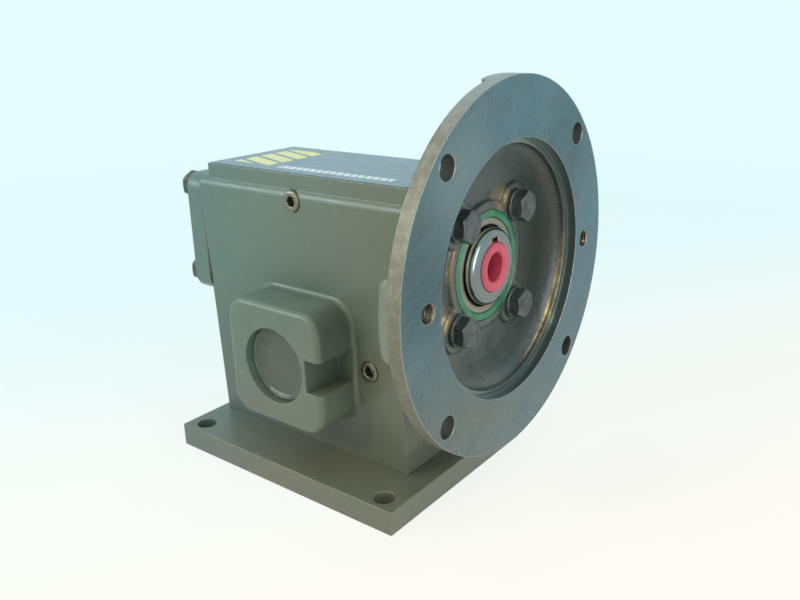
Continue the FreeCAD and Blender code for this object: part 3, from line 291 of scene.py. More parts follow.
class Shader:
    """A material with one principled shader, and short calls that add nodes to it."""

    def __init__(self, name, **constants):
        self.material = bpy.data.materials.new(name)
        self.material.use_nodes = True
        self.nodes = self.material.node_tree.nodes
        self.links = self.material.node_tree.links
        self.bsdf = self.nodes["Principled BSDF"]
        for socket, value in constants.items():
            self.bsdf.inputs[socket.replace("_", " ")].default_value = value
        self.coords = self.nodes.new("ShaderNodeTexCoord").outputs["Object"]

    def set(self, socket, value):
        """Links a node output to a socket, or sets a plain value on it."""
        if isinstance(value, bpy.types.NodeSocket):
            self.links.new(value, socket)
        else:
            socket.default_value = value

    def math(self, operation, *values):
        node = self.nodes.new("ShaderNodeMath")
        node.operation = operation
        for socket, value in zip(node.inputs, values):
            self.set(socket, value)
        return node.outputs[0]

    def chain(self, operation, first, *others):
        """One operation over any number of values."""
        for other in others:
            first = self.math(operation, first, other)
        return first

    def product(self, *values):
        return self.chain("MULTIPLY", *values)

    def total(self, *values):
        return self.chain("ADD", *values)

    def largest(self, *values):
        return self.chain("MAXIMUM", *values)

    def above(self, value, limit):
        return self.math("GREATER_THAN", value, limit)

    def below(self, value, limit):
        return self.math("LESS_THAN", value, limit)

    def outside(self, mask):
        """One where a mask is zero, and zero where it is one."""
        return self.math("SUBTRACT", 1.0, mask)

    def noise(self, scale, detail=3.0, roughness=0.55, vector=None):
        node = self.nodes.new("ShaderNodeTexNoise")
        node.inputs["Scale"].default_value = scale
        node.inputs["Detail"].default_value = detail
        node.inputs["Roughness"].default_value = roughness
        self.links.new(vector or self.coords, node.inputs["Vector"])
        return node.outputs["Fac"]

    def streaks(self, detail, roughness, *scaled):
        """Noise drawn out along the surface, from coordinates with a scale each."""
        place = self.join(*(self.product(value, scale) for value, scale in scaled))
        return self.noise(1.0, detail, roughness, place)

    def blotches(self, scale, detail, low, high, share=1.0, roughness=0.55):
        """A mask of up to a share, where a noise rises from one level to another."""
        return self.span(self.noise(scale, detail, roughness), low, high, 0.0, share)

    def span(self, value, low, high, to_low=0.0, to_high=1.0):
        """Maps low..high smoothly to another span."""
        node = self.nodes.new("ShaderNodeMapRange")
        node.interpolation_type = "SMOOTHSTEP"
        for socket, number in zip(node.inputs, (value, low, high, to_low, to_high)):
            self.set(socket, number)
        return node.outputs[0]

    def blend(self, kind, share, first, second):
        """A Mix node of a kind, whose sockets are found by name and type."""
        node = self.nodes.new("ShaderNodeMix")
        node.data_type = kind
        self.set(node.inputs["Factor"], share)
        for name, value in (("A", first), ("B", second)):
            self.set(next(s for s in node.inputs if s.name == name and s.type == kind), value)
        return next(s for s in node.outputs if s.type == kind)

    def mix(self, share, first, second):
        tones = (v if isinstance(v, bpy.types.NodeSocket) else (*v, 1.0) for v in (first, second))
        return self.blend("RGBA", share, *tones)

    def vector_mix(self, share, first, second):
        return self.blend("VECTOR", share, first, second)

    def layered(self, colour, *layers):
        """A colour with further tones laid over it, each by its mask."""
        for mask, tone in layers:
            colour = self.mix(mask, colour, tone)
        return colour

    def split(self, vector=None):
        node = self.nodes.new("ShaderNodeSeparateXYZ")
        self.links.new(vector or self.coords, node.inputs[0])
        return node.outputs

    def join(self, x=0.0, y=0.0, z=0.0):
        node = self.nodes.new("ShaderNodeCombineXYZ")
        for socket, value in zip(node.inputs, (x, y, z)):
            self.set(socket, value)
        return node.outputs[0]

    def radius(self, across, centre_across, up, centre_up):
        """Distance from an axis, from two of the coordinates."""
        a = self.math("SUBTRACT", across, centre_across)
        b = self.math("SUBTRACT", up, centre_up)
        return self.math("SQRT", self.total(self.product(a, a), self.product(b, b)))

    def true_normal(self):
        return self.nodes.new("ShaderNodeNewGeometry").outputs["Normal"]

    def toward(self, normal, direction):
        """How far a normal points along a direction."""
        node = self.nodes.new("ShaderNodeVectorMath")
        node.operation = "DOT_PRODUCT"
        self.links.new(normal, node.inputs[0])
        self.set(node.inputs[1], direction)
        return node.outputs["Value"]

    def soft_edge(self, radius):
        """A normal that rounds off sharp edges, and how far it leans from the true one."""
        bevel = self.nodes.new("ShaderNodeBevel")
        bevel.samples = 6
        bevel.inputs["Radius"].default_value = radius
        normal = bevel.outputs[0]
        return normal, self.outside(self.toward(normal, self.true_normal()))

    def bump(self, height, distance, normal, strength):
        node = self.nodes.new("ShaderNodeBump")
        node.inputs["Strength"].default_value = strength
        node.inputs["Distance"].default_value = distance
        self.links.new(height, node.inputs["Height"])
        self.links.new(normal, node.inputs["Normal"])
        return node.outputs[0]

    def finish(self, colour, roughness, normal, metallic=None):
        self.set(self.bsdf.inputs["Base Color"], colour)
        self.set(self.bsdf.inputs["Roughness"], roughness)
        self.set(self.bsdf.inputs["Normal"], normal)
        if metallic is not None:
            self.set(self.bsdf.inputs["Metallic"], metallic)
        return self.material


# Materials

def case_paint(name, dark, pale, low_share):
    """Satin grey-green enamel over a sand casting, with painted cool light towards the rear and painted
    warm light towards the front, browner and darker near the foot, and rubbed edges brightened as a
    painted highlight.
    """
    sh = Shader(name, Specular_IOR_Level=0.5)
    normal, edge = sh.soft_edge(1.0 * MM)
    x, _, z = sh.split()
    patches = sh.noise(16.0, 4.0)
    # Browner and darker towards the foot, in patches
    low_brown = sh.product(sh.span(z, 5.0 * MM, 95.0 * MM, low_share, 0.0), sh.span(patches, 0.25, 0.75, 0.6, 1.0))
    # Pale rubbed edges, brightened further as a painted edge highlight
    worn_and_highlit = sh.product(sh.span(edge, 0.02, 0.20), sh.span(sh.noise(60.0), 0.35, 0.65, 0.15, 0.7))
    colour = sh.layered(
        sh.mix(sh.span(patches, *MOST), dark, pale),
        # Painted cool light towards the rear and painted warm light towards the front
        (sh.span(x, -70.0 * MM, 5.0 * MM, 0.85, 0.0), PAINT_COOL_LIGHT),
        (sh.span(x, -5.0 * MM, 60.0 * MM, 0.0, 0.6), PAINT_WARM_LIGHT),
        (low_brown, PAINT_LOW_BROWN),
        (sh.blotches(420.0, 2.0, 0.60, 0.78, 0.4), PAINT_SPECK),
        (sh.blotches(190.0, 2.0, 0.73, 0.78, 0.6), PAINT_CHIP),
        (worn_and_highlit, PAINT_WORN_AND_HIGHLIGHT),
    )
    normal = sh.bump(sh.noise(110.0, 4.0), 0.25 * MM, normal, 0.6)
    normal = sh.bump(sh.noise(700.0, 2.0), 0.05 * MM, normal, 0.7)
    return sh.finish(colour, sh.span(sh.noise(45.0), *MOST, 0.27, 0.40), normal)


def flange_iron():
    """Cast flange: machined face, rim and pilot, raw casting in the dish and paint behind."""
    sh = Shader("flange_iron", Specular_IOR_Level=0.4)
    smooth, edge = sh.soft_edge(0.5 * MM)
    x, y, z = sh.split()
    radius = sh.radius(y, 0.0, z, WORM_Z)
    leaning = sh.split(sh.true_normal())[0]

    # Masks of the regions
    face = sh.above(x, FLANGE_FACE - 0.3 * MM)
    behind = sh.below(x, FLANGE_FACE - RIM_WIDTH)
    front = sh.outside(behind)
    rim = sh.product(sh.above(radius, FLANGE_RADIUS - 0.4 * MM), front)
    hole = sh.product(sh.above(radius, PILOT_RADIUS + 0.5 * MM), front)
    pilot = sh.product(sh.above(x, PILOT_FLOOR - 0.3 * MM), sh.below(radius, PILOT_RADIUS + 0.3 * MM))
    dish = sh.product(sh.below(radius, PILOT_RADIUS - 2.5 * MM), sh.above(leaning, -0.05))
    machined = sh.largest(face, rim, pilot)

    # Tones
    stain = sh.noise(24.0, 5.0, 0.65)
    rings = sh.streaks(4.0, 0.7, (radius, 900.0))
    lines = sh.streaks(3.0, 0.6, (x, 2600.0), (z, 30.0))
    wall, wall_normal = dish_wall(sh, x, y, z, radius, leaning)
    cast_normal = sh.vector_mix(wall, sh.soft_edge(2.5 * MM)[0], wall_normal)
    # Painted golden glint in the dish
    painted_glint = dish_painted_glint(sh, y, z, wall, cast_normal)
    casting = raw_casting(sh, y, z, painted_glint)
    colour = sh.layered(
        casting,
        (behind, sh.mix(sh.span(stain, *MOST), BACK_DARK, BACK_PALE)),
        (dish, casting),
        (hole, HOLE_WALL),
        (pilot, PILOT_METAL),
        (rim, rim_metal(sh, z, lines)),
        (face, face_metal(sh, y, z, stain, rings, edge)),
    )

    # Relief: turned grooves where machined, and a sand-cast skin elsewhere
    skin = sh.bump(sh.noise(85.0), 0.6 * MM, cast_normal, 0.5)
    skin = sh.bump(sh.noise(260.0, 5.0, 0.7), 0.4 * MM, skin, 0.8)
    tooling = sh.total(sh.product(rings, face), sh.product(lines, rim))
    grooves = sh.bump(tooling, 0.04 * MM, smooth, 0.6)
    normal = sh.vector_mix(machined, skin, grooves)

    # Gloss: the rim and the holes are duller, the casting glossier, with its painted golden glint partly
    # metallic
    unturned = sh.outside(sh.largest(face, rim))
    duller = sh.total(sh.product(sh.outside(hole), -0.13), sh.product(hole, 0.4))
    rough = sh.span(stain, *MOST, 0.30, 0.44)
    rough = sh.total(rough, sh.product(rim, 0.14), sh.product(unturned, duller))
    metallic = sh.math("SUBTRACT", sh.product(machined, 0.75), sh.product(rim, 0.45))
    metallic = sh.largest(metallic, sh.product(painted_glint, dish, 0.7))
    return sh.finish(colour, rough, normal, metallic)


def dish_wall(sh, x, y, z, radius, leaning):
    """Mask and normal of the dish's rounded wall, from the floor's edge up to the pilot's ledge."""
    climb = sh.math("DIVIDE", sh.math("SUBTRACT", radius, DISH_FLOOR), DISH_RADIUS - DISH_FLOOR)
    climb = sh.math("MINIMUM", sh.largest(climb, 0.0), 1.0)
    slope = sh.math("POWER", climb, 4.0)
    inward = sh.math("DIVIDE", slope, sh.product(radius, -1.0))
    ahead = sh.math("SQRT", sh.outside(sh.product(slope, slope)))
    normal = sh.join(ahead, sh.product(y, inward), sh.product(sh.math("SUBTRACT", z, WORM_Z), inward))
    mask = sh.product(
        sh.above(radius, DISH_FLOOR),
        sh.below(radius, DISH_RADIUS - 0.05 * MM),
        sh.above(leaning, 0.05),
        sh.below(x, PILOT_FLOOR - 0.5 * MM),
    )
    return mask, normal


def dish_painted_glint(sh, y, z, wall, normal):
    """Painted golden glint where the wall and the sides of the seats face given directions, and beside
    two bolts.
    """
    on_wall = sh.span(sh.toward(normal, GLINT_WALL_NORMAL), 0.76, 0.96, 0.0, 0.95)
    on_seats = sh.span(sh.toward(normal, GLINT_SEAT_NORMAL), 0.80, 0.96, 0.0, 0.8)
    painted_glint = sh.total(sh.product(on_wall, wall), sh.product(on_seats, sh.outside(wall)))
    for across, up in GLINT_PATCHES:
        run = sh.span(sh.radius(y, across, z, WORM_Z + up), 2.0 * MM, 8.0 * MM, 0.75, 0.0)
        painted_glint = sh.largest(painted_glint, run)
    return sh.product(painted_glint, sh.span(sh.noise(140.0, 4.0, 0.7), 0.35, 0.65, 0.3, 1.0))


def raw_casting(sh, y, z, painted_glint):
    """Sand casting in the dish, with painted shade high up and to the right, and the painted golden glint
    over it.
    """
    return sh.layered(
        sh.mix(sh.span(sh.noise(60.0, 5.0), *MOST), CAST_DARK, CAST_PALE),
        (sh.blotches(22.0, 3.0, 0.55, 0.75, 0.6), CAST_BROWN),
        # Painted shade high up and to the right of the dish
        (sh.span(z, WORM_Z - 20.0 * MM, WORM_Z + PILOT_RADIUS, 0.0, 0.6), CAST_SHADE_HIGH),
        (sh.span(y, 8.0 * MM, 46.0 * MM, 0.0, 0.85), CAST_SHADE_RIGHT),
        (painted_glint, GLINT_GOLD),
    )


def rim_metal(sh, z, lines):
    """Turned rim, with painted shade low down and a painted sky reflection on top."""
    return sh.layered(
        sh.mix(sh.span(lines, *MOST), RIM_DARK, RIM_PALE),
        (sh.blotches(240.0, 4.0, 0.40, 0.70, 0.7, 0.7), RIM_BRIGHT),
        # Painted shade low down and a painted sky reflection on top
        (sh.span(z, WORM_Z - FLANGE_RADIUS, WORM_Z + FLANGE_RADIUS * 0.7, 0.75, 0.0), RIM_LOW_SHADE),
        (sh.span(z, WORM_Z + FLANGE_RADIUS * 0.75, WORM_Z + FLANGE_RADIUS, 0.0, 0.8), RIM_TOP_REFLECTION),
    )


def face_metal(sh, y, z, stain, rings, edge):
    """Machined face, grey low down and teal above, with smears, scratches and stains, patches of painted
    reflection, and a painted highlight along its edge.
    """
    lean = sh.math("MULTIPLY_ADD", y, -0.6, z)
    cross = sh.math("MULTIPLY_ADD", z, 0.6, y)
    smear = sh.streaks(4.0, 0.7, (lean, 85.0), (cross, 12.0))
    layers = [
        (sh.span(y, -0.5 * PILOT_RADIUS, FLANGE_RADIUS, 0.0, 0.6), FACE_RIGHT),
        (sh.blotches(11.0, 2.0, 0.40, 0.65, 0.35), FACE_PALE),
        (sh.span(stain, 0.35, 0.72, 0.0, 0.7), FACE_STAIN),
        (sh.blotches(38.0, 4.0, 0.52, 0.75, 0.55), FACE_GREY),
        (sh.span(smear, 0.45, 0.75, 0.0, 0.55), FACE_SMEAR),
        (sh.product(rings, 0.2), FACE_RINGS),
    ]
    for across, up, weight in ((1300.0, 50.0, 0.22), (700.0, 900.0, 0.25)):
        place = sh.join(y=sh.product(y, across), z=sh.product(z, up))
        layers.append((sh.span(sh.noise(1.0, 3.0, 0.65, place), 0.55, 0.75, 0.0, weight), FACE_SCRATCH))
    layers.append((sh.blotches(420.0, 4.0, 0.45, 0.70, 0.4, 0.7), FACE_DULL))
    ragged = sh.span(smear, *MOST, 0.4, 1.0)
    # Patches of painted reflection on the face
    for across, up, share, tone in FACE_REFLECTIONS:
        away = sh.radius(y, across * MM, z, WORM_Z + up * MM)
        layers.append((sh.product(sh.span(away, 6.0 * MM, 36.0 * MM, share, 0.0), ragged), tone))
    # Painted highlight along the face's edge
    layers.append((sh.span(edge, 0.03, 0.25), FACE_EDGE_HIGHLIGHT))
    height = sh.span(z, WORM_Z - FLANGE_RADIUS, WORM_Z + FLANGE_RADIUS * 0.4)
    return sh.layered(sh.mix(height, FACE_LOW, FACE_HIGH), *layers)


def metal(name, dark, pale, rough, grain, axis_z, along="x"):
    """Turned or ground metal, with fine rings about its axis."""
    sh = Shader(name, Metallic=1.0)
    normal, edge = sh.soft_edge(0.35 * MM)
    x, y, z = sh.split()
    length, across = (x, y) if along == "x" else (y, x)
    radius = sh.radius(across, 0.0, z, axis_z)
    rings = sh.streaks(4.0, 0.65, (length, grain), (radius, grain))
    stain = sh.noise(70.0, 4.0)
    colour = sh.layered(
        sh.mix(sh.span(rings, 0.25, 0.75), dark, pale),
        (sh.span(stain, 0.55, 0.75, 0.0, 0.35), dark),
        (sh.span(edge, 0.03, 0.3), pale),
    )
    normal = sh.bump(rings, 0.02 * MM, normal, 0.5)
    return sh.finish(colour, sh.span(stain, *MOST, rough, rough + 0.14), normal)


def quill_steel(end):
    """Ground journal with a darker burnished nose towards its end."""
    sh = Shader("shaft_steel", Metallic=1.0)
    normal, edge = sh.soft_edge(0.35 * MM)
    x, y, z = sh.split()
    rings = sh.streaks(4.0, 0.65, (x, 2400.0), (sh.radius(y, 0.0, z, WORM_Z), 2400.0))
    shade = sh.span(rings, 0.25, 0.75)
    nose = sh.mix(shade, (0.125, 0.160, 0.165), (0.300, 0.340, 0.338))
    colour = sh.layered(
        sh.mix(shade, (0.52, 0.48, 0.40), (0.70, 0.66, 0.58)),
        (sh.span(x, end - 3.0 * MM, end - 0.8 * MM), nose),
        (sh.span(edge, 0.03, 0.3), (0.48, 0.47, 0.42)),
    )
    normal = sh.bump(rings, 0.02 * MM, normal, 0.5)
    return sh.finish(colour, sh.span(sh.noise(70.0, 4.0), *MOST, 0.15, 0.28), normal)


def black_bolt():
    """Black oxide steel, rubbed lighter on its edges."""
    sh = Shader("black_bolt", Metallic=0.65)
    normal, edge = sh.soft_edge(0.5 * MM)
    grain = sh.noise(300.0, 4.0)
    colour = sh.layered(
        sh.mix(sh.span(grain, *MOST), (0.052, 0.066, 0.066), (0.106, 0.128, 0.126)),
        (sh.span(edge, 0.03, 0.25, 0.0, 0.8), (0.34, 0.32, 0.27)),
    )
    normal = sh.bump(grain, 0.08 * MM, normal, 0.5)
    return sh.finish(colour, sh.span(sh.noise(90.0), *MOST, 0.34, 0.5), normal)


def plain(name, dark, pale, rough, scale=120.0, depth=0.05, depth_shade=None):
    """A moulded or pressed surface, slightly mottled, with painted shade darker along X where a depth is
    given.
    """
    sh = Shader(name)
    normal, edge = sh.soft_edge(0.3 * MM)
    colour = sh.mix(sh.span(sh.noise(scale, 4.0), *MOST), dark, pale)
    if depth_shade:
        low, high, tone = depth_shade
        colour = sh.mix(sh.span(sh.split()[0], low, high), tone, colour)
    colour = sh.mix(sh.span(edge, 0.05, 0.4, 0.0, 0.35), colour, pale)
    normal = sh.bump(sh.noise(scale * 4), depth * MM, normal, 0.5)
    return sh.finish(colour, sh.span(sh.noise(scale * 0.6), *MOST, rough, rough + 0.12), normal)


def name_plate_print(low, high):
    """Dark printed plate, its ground tinted blue as a painted sky reflection, with plain slanted yellow
    blocks and a row of pale marks.
    """
    sh = Shader("name_plate", Specular_IOR_Level=0.5, Coat_Weight=0.3, Coat_Roughness=0.25)
    x, y, _ = sh.split()
    width = high - low

    def inside(x0, x1, y0, y1):
        """A box on the plate, in shares of its length and width."""
        return sh.product(
            sh.above(x, low.x + width.x * x0),
            sh.below(x, low.x + width.x * x1),
            sh.above(y, low.y + width.y * y0),
            sh.below(y, low.y + width.y * y1),
        )

    def striped(across, along, lean, pitch, share):
        """Bars of a share of their pitch, leaning along the other direction."""
        slid = sh.total(across, sh.product(along, lean))
        return sh.below(sh.math("FLOORED_MODULO", slid, pitch), pitch * share)

    scuffs = sh.noise(130.0, 5.0, 0.7)
    blocks = sh.product(inside(0.07, 0.27, 0.16, 0.84), striped(y, x, 0.35, 10.5 * MM, 0.74))
    marks = sh.product(inside(0.33, 0.88, 0.12, 0.21), striped(x, y, 0.4, 4.3 * MM, 0.8))
    # The blue of the ground is a painted sky reflection
    colour = sh.layered(
        sh.mix(sh.span(scuffs, *MOST), (0.036, 0.104, 0.158), (0.060, 0.145, 0.210)),
        (blocks, (0.62, 0.62, 0.16)),
        (marks, (0.55, 0.68, 0.76)),
    )
    normal = sh.bump(scuffs, 0.02 * MM, sh.soft_edge(0.3 * MM)[0], 0.5)
    return sh.finish(colour, sh.span(scuffs, *MOST, 0.26, 0.40), normal)


def studio_floor():
    """Pale sweep that keeps a soft shadow near the part and fades into the backdrop."""
    sh = Shader("studio_floor")
    sh.nodes.remove(sh.bsdf)
    x, y, _ = sh.split()
    apart = sh.radius(x, 0.0, y, 0.0)
    cool = sh.span(sh.math("SUBTRACT", sh.product(y, 0.6), x), -0.22, 0.36)
    cool = sh.largest(cool, sh.span(apart, 0.8, 5.0))
    glow = sh.nodes.new("ShaderNodeEmission")
    sh.set(glow.inputs["Color"], sh.mix(cool, SWEEP_WARM, SWEEP_COOL))
    diffuse = sh.nodes.new("ShaderNodeBsdfDiffuse")
    diffuse.inputs["Color"].default_value = FLOOR_TONE
    far = sh.span(apart, 0.25, 1.1, 0.86, 1.0)
    share = sh.nodes.new("ShaderNodeMixShader")
    sh.set(share.inputs["Fac"], sh.product(seen_ray(sh.nodes, sh.links), far))
    sh.links.new(diffuse.outputs[0], share.inputs[1])
    sh.links.new(glow.outputs[0], share.inputs[2])
    sh.links.new(share.outputs[0], sh.nodes["Material Output"].inputs["Surface"])
    return sh.material


def seen_ray(nodes, links):
    """One for the rays that show the background: camera, glossy and transmission."""
    path = nodes.new("ShaderNodeLightPath")
    seen = path.outputs["Is Camera Ray"]
    for name in ("Is Glossy Ray", "Is Transmission Ray"):
        more = nodes.new("ShaderNodeMath")
        more.operation = "MAXIMUM"
        links.new(seen, more.inputs[0])
        links.new(path.outputs[name], more.inputs[1])
        seen = more.outputs[0]
    return seen


# Materials of the CAD nodes and the pieces, by name

RED_LOW, RED_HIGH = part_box("quill_plug")
# Painted shade: the red darkens further into the cup
RED_DEPTH_SHADE = (RED_LOW.x, RED_HIGH.x - 1.0 * MM, (0.16, 0.010, 0.028))
PAINTS = {
    "case_paint": ((0.097, 0.140, 0.113), (0.119, 0.167, 0.135), 0.65),
    "cap_paint": ((0.054, 0.076, 0.055), (0.073, 0.098, 0.072), 0.3),
    "base_paint": ((0.120, 0.142, 0.112), (0.150, 0.172, 0.136), 0.55),
}
METALS = {
    "plug_zinc": ((0.105, 0.108, 0.080), (0.30, 0.285, 0.20), 0.34, 1500.0, WORM_Z, "y"),
    "output_steel": ((0.26, 0.28, 0.28), (0.52, 0.53, 0.51), 0.22, 2400.0, OUTPUT_Z, "y"),
    "wheel_bronze": ((0.42, 0.25, 0.09), (0.62, 0.42, 0.18), 0.28, 1200.0, OUTPUT_Z, "y"),
    "bearing_steel": ((0.48, 0.48, 0.48), (0.72, 0.72, 0.71), 0.10, 3000.0, WORM_Z),
    "cage_brass": ((0.40, 0.29, 0.11), (0.64, 0.50, 0.24), 0.25, 1800.0, WORM_Z),
    "thread_iron": ((0.055, 0.050, 0.045), (0.34, 0.25, 0.17), 0.30, 1200.0, WORM_Z),
    "seal_ring": ((0.22, 0.215, 0.175), (0.36, 0.345, 0.285), 0.40, 1500.0, WORM_Z),
}
PLAINS = {
    "gasket": ((0.045, 0.052, 0.043), (0.072, 0.078, 0.064), 0.75),
    "seal_case": ((0.014, 0.120, 0.055), (0.030, 0.205, 0.100), 0.32),
    "seal_lip": ((0.012, 0.012, 0.012), (0.028, 0.027, 0.025), 0.5),
    "red_plastic": ((0.42, 0.041, 0.070), (0.50, 0.059, 0.095), 0.28, 60.0, 0.02, RED_DEPTH_SHADE),
}
MATERIALS = {
    "flange_iron": flange_iron(),
    "black_bolt": black_bolt(),
    "shaft_steel": quill_steel(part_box("worm_shaft")[1].x),
}
for make, table in ((case_paint, PAINTS), (metal, METALS), (plain, PLAINS)):
    for name, values in table.items():
        MATERIALS[name] = make(name, *values)


def dress_nodes():
    """Gives each CAD node the material of its slot."""
    output = set(frame["record"]["behaviour"]["bodies"]["output"])
    for subpart in frame["record"]["subparts"]:
        node, slot = subpart["node"], subpart["material_slot"]
        if slot == "shaft_steel" and node in output:
            slot = "output_steel"
        if node == "base_plate":
            slot = "base_paint"
        mesh = frame["nodes"][node].data
        mesh.materials.clear()
        mesh.materials.append(MATERIALS[slot])


# Studio

def floor():
    bpy.ops.mesh.primitive_plane_add(size=FLOOR_SIZE, location=(0, 0, 0))
    plane = bpy.context.object
    plane.name = "studio_floor"
    plane.data.materials.append(studio_floor())


def lights():
    for name, spot, target, size, power, colour in LAMPS:
        data = bpy.data.lights.new(name, "AREA")
        data.shape = "DISK"
        data.size = size
        data.energy = power
        data.color = colour
        lamp = bpy.data.objects.new(name, data)
        lamp.location = spot
        lamp.rotation_euler = (Vector(target) - Vector(spot)).to_track_quat("-Z", "Y").to_euler()
        bpy.context.scene.collection.objects.link(lamp)


def world():
    surroundings = bpy.data.worlds.new("studio")
    surroundings.use_nodes = True
    nodes = surroundings.node_tree.nodes
    links = surroundings.node_tree.links
    soft = nodes["Background"]
    soft.inputs["Color"].default_value = AMBIENT_TONE
    soft.inputs["Strength"].default_value = AMBIENT_LEVEL
    shown = nodes.new("ShaderNodeBackground")
    shown.inputs["Color"].default_value = (*SWEEP_COOL, 1.0)
    share = nodes.new("ShaderNodeMixShader")
    links.new(seen_ray(nodes, links), share.inputs["Fac"])
    links.new(soft.outputs[0], share.inputs[1])
    links.new(shown.outputs[0], share.inputs[2])
    links.new(share.outputs[0], nodes["World Output"].inputs["Surface"])
    bpy.context.scene.world = surroundings


def camera():
    data = bpy.data.cameras.new("camera")
    data.sensor_fit = "HORIZONTAL"
    data.sensor_width = SENSOR_WIDTH
    data.lens = FOCAL_PIXELS * SENSOR_WIDTH / IMAGE_WIDTH
    data.clip_end = CAMERA_REACH
    back = Vector((math.sin(CAMERA_AZIMUTH) * math.cos(CAMERA_ELEVATION),
                   -math.cos(CAMERA_AZIMUTH) * math.cos(CAMERA_ELEVATION),
                   math.sin(CAMERA_ELEVATION)))
    level = Vector((0, 0, 1)).cross(back).normalized()
    upright = back.cross(level)
    aim = Matrix((level, upright, back)).transposed().to_4x4()
    thing = bpy.data.objects.new("camera", data)
    thing.matrix_world = Matrix.Translation(CAMERA_SPOT) @ aim @ Matrix.Rotation(CAMERA_ROLL, 4, "Z")
    bpy.context.scene.collection.objects.link(thing)
    bpy.context.scene.camera = thing


# Fasteners

def hex_bolts(name, node, spots, direction, corner, flats, head, shank, length, washer):
    """Bolts with chamfered hex heads, their undersides a washer's thickness over the seat."""
    bm = bmesh.new()
    wide = hexagon(flats)
    crown = flats * HEX_CROWN
    slope = math.tan(HEX_CHAMFER)
    thick, rim = washer
    top = thick + head

    def shoulder(angle):
        return top - max(0.0, wide(angle) - crown) * slope

    rings = [
        (-length, shank - 0.5 * MM),
        (0.5 * MM - length, shank),
        (0.0, shank),
        (0.0, rim - 0.15 * MM),
        (0.15 * MM, rim),
        (thick - 0.25 * MM, rim),
        (thick, rim - 0.25 * MM),
        (thick, flats * HEX_FACE),
        (thick + 0.2 * MM, wide),
        (shoulder, wide),
        (top, crown),
        (top, crown * 0.85),
        (top - 0.15 * MM, crown * 0.8),
    ]
    for spot in spots:
        turned(bm, rings, facing(spot, direction, corner))
    new_piece(name, bm, "housing", MATERIALS["black_bolt"], node)


def bolts():
    low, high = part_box("flange_bolts")
    seat = high.x - BOLT_HEAD - WASHER_THICK
    spots = [(seat, y * BOLT_SPREAD, WORM_Z + z * BOLT_SPREAD) for y, z in QUARTERS]
    hex_bolts("flange_hex_bolts", "flange_bolts", spots, (1, 0, 0), (0, 0, 1), BOLT_FLATS, BOLT_HEAD,
              BOLT_SHANK, seat - low.x, (WASHER_THICK, WASHER_RADIUS))
    low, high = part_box("rear_cover_bolts")
    seat = low.x + BOLT_HEAD
    spots = [(seat, y * BOLT_SPREAD, WORM_Z + z * BOLT_SPREAD) for y, z in QUARTERS]
    hex_bolts("rear_hex_bolts", "rear_cover_bolts", spots, (-1, 0, 0), (0, 0, 1), BOLT_FLATS,
              BOLT_HEAD - HEX_FACE_THICK, BOLT_SHANK, high.x - seat,
              (HEX_FACE_THICK, BOLT_FLATS * HEX_FACE))
    low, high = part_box("output_cover_bolts")
    spread = high.z - OUTPUT_Z - COVER_FLATS / 2
    seat = high.y - COVER_HEAD
    spots = [(x * spread, seat, OUTPUT_Z + z * spread) for x, z in QUARTERS]
    hex_bolts("cover_hex_bolts", "output_cover_bolts", spots, (0, 1, 0), (1, 0, 0), COVER_FLATS,
              COVER_HEAD - HEX_FACE_THICK, COVER_SHANK, seat - low.y,
              (HEX_FACE_THICK, COVER_FLATS * HEX_FACE))


def pipe_plugs():
    """Two plugs with chamfered rims and hex sockets."""
    low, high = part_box("pipe_plugs")
    bm = bmesh.new()
    wide = hexagon(PLUG_SOCKET)
    rings = [
        (-PLUG_LENGTH, PLUG_RADIUS - 0.6 * MM),
        (0.6 * MM - PLUG_LENGTH, PLUG_RADIUS),
        (-0.9 * MM, PLUG_RADIUS),
        (-0.25 * MM, PLUG_RADIUS - 0.25 * MM),
        (0.0, PLUG_RADIUS - 0.8 * MM),
        (0.0, PLUG_SOCKET * 0.62),
        (-0.35 * MM, wide),
        (-4.2 * MM, wide),
        (-4.8 * MM, PLUG_SOCKET * 0.2),
    ]
    spots = (
        (low.x + PLUG_RADIUS, low.y, high.z - PLUG_RADIUS),
        (high.x - PLUG_RADIUS, high.y - PLUG_LENGTH, low.z + PLUG_RADIUS),
    )
    for spot in spots:
        turned(bm, rings, facing(spot, (0, -1, 0), (1, 0, 0)))
    new_piece("socket_plugs", bm, "housing", MATERIALS["plug_zinc"], "pipe_plugs")


# Seals, the red plug and the cap

def seal(label, place, outer, shaft, width):
    """Rubber-covered case, pressed steel ring and sprung lip, with the face at local X zero."""
    inner = outer - 3.3 * MM
    bore = inner - 0.05 * MM
    back = 1.3 * MM - width
    parts = (
        ("case_ring", "seal_case", "seal_case", f"{label}_case", 0.7, [
            (-width, shaft + 2.6 * MM), (-width, outer), (0, outer),
            (0, inner), (back, inner), (back, shaft + 2.6 * MM),
        ]),
        ("steel_ring", "shaft_steel", "seal_ring", None, 0.5, [
            (-2.2 * MM, bore), (-0.5 * MM, bore), (-0.5 * MM, shaft + 1.0 * MM),
            (-1.6 * MM, shaft + 1.0 * MM), (-1.6 * MM, shaft + 2.0 * MM), (-2.2 * MM, shaft + 2.6 * MM),
        ]),
        ("lip_ring", "seal_lip", "seal_lip", f"{label}_lip", 0.3, [
            (back, shaft + 1.3 * MM), (back, bore), (-3.1 * MM, bore),
            (-3.1 * MM, shaft + 1.2 * MM), (-1.9 * MM, shaft + 0.1 * MM), (-3.9 * MM, shaft + 0.1 * MM),
        ]),
    )
    for name, slot, material, node, edge, profile in parts:
        bm = bmesh.new()
        turned(bm, rounded(profile, edge * MM), place, closed=True, segments=128)
        new_piece(f"{label}_{name}", bm, "housing", MATERIALS[material], node)


def seals():
    low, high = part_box("input_seal_case")
    seal("input_seal", facing((high.x, 0, WORM_Z), (1, 0, 0), (0, 0, 1)), high.y, QUILL_RADIUS,
         high.x - low.x)
    low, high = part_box("output_seal_case")
    seal("output_seal", facing((0, high.y, OUTPUT_Z), (0, 1, 0), (1, 0, 0)), high.x, SHAFT_SEAT,
         high.y - low.y)


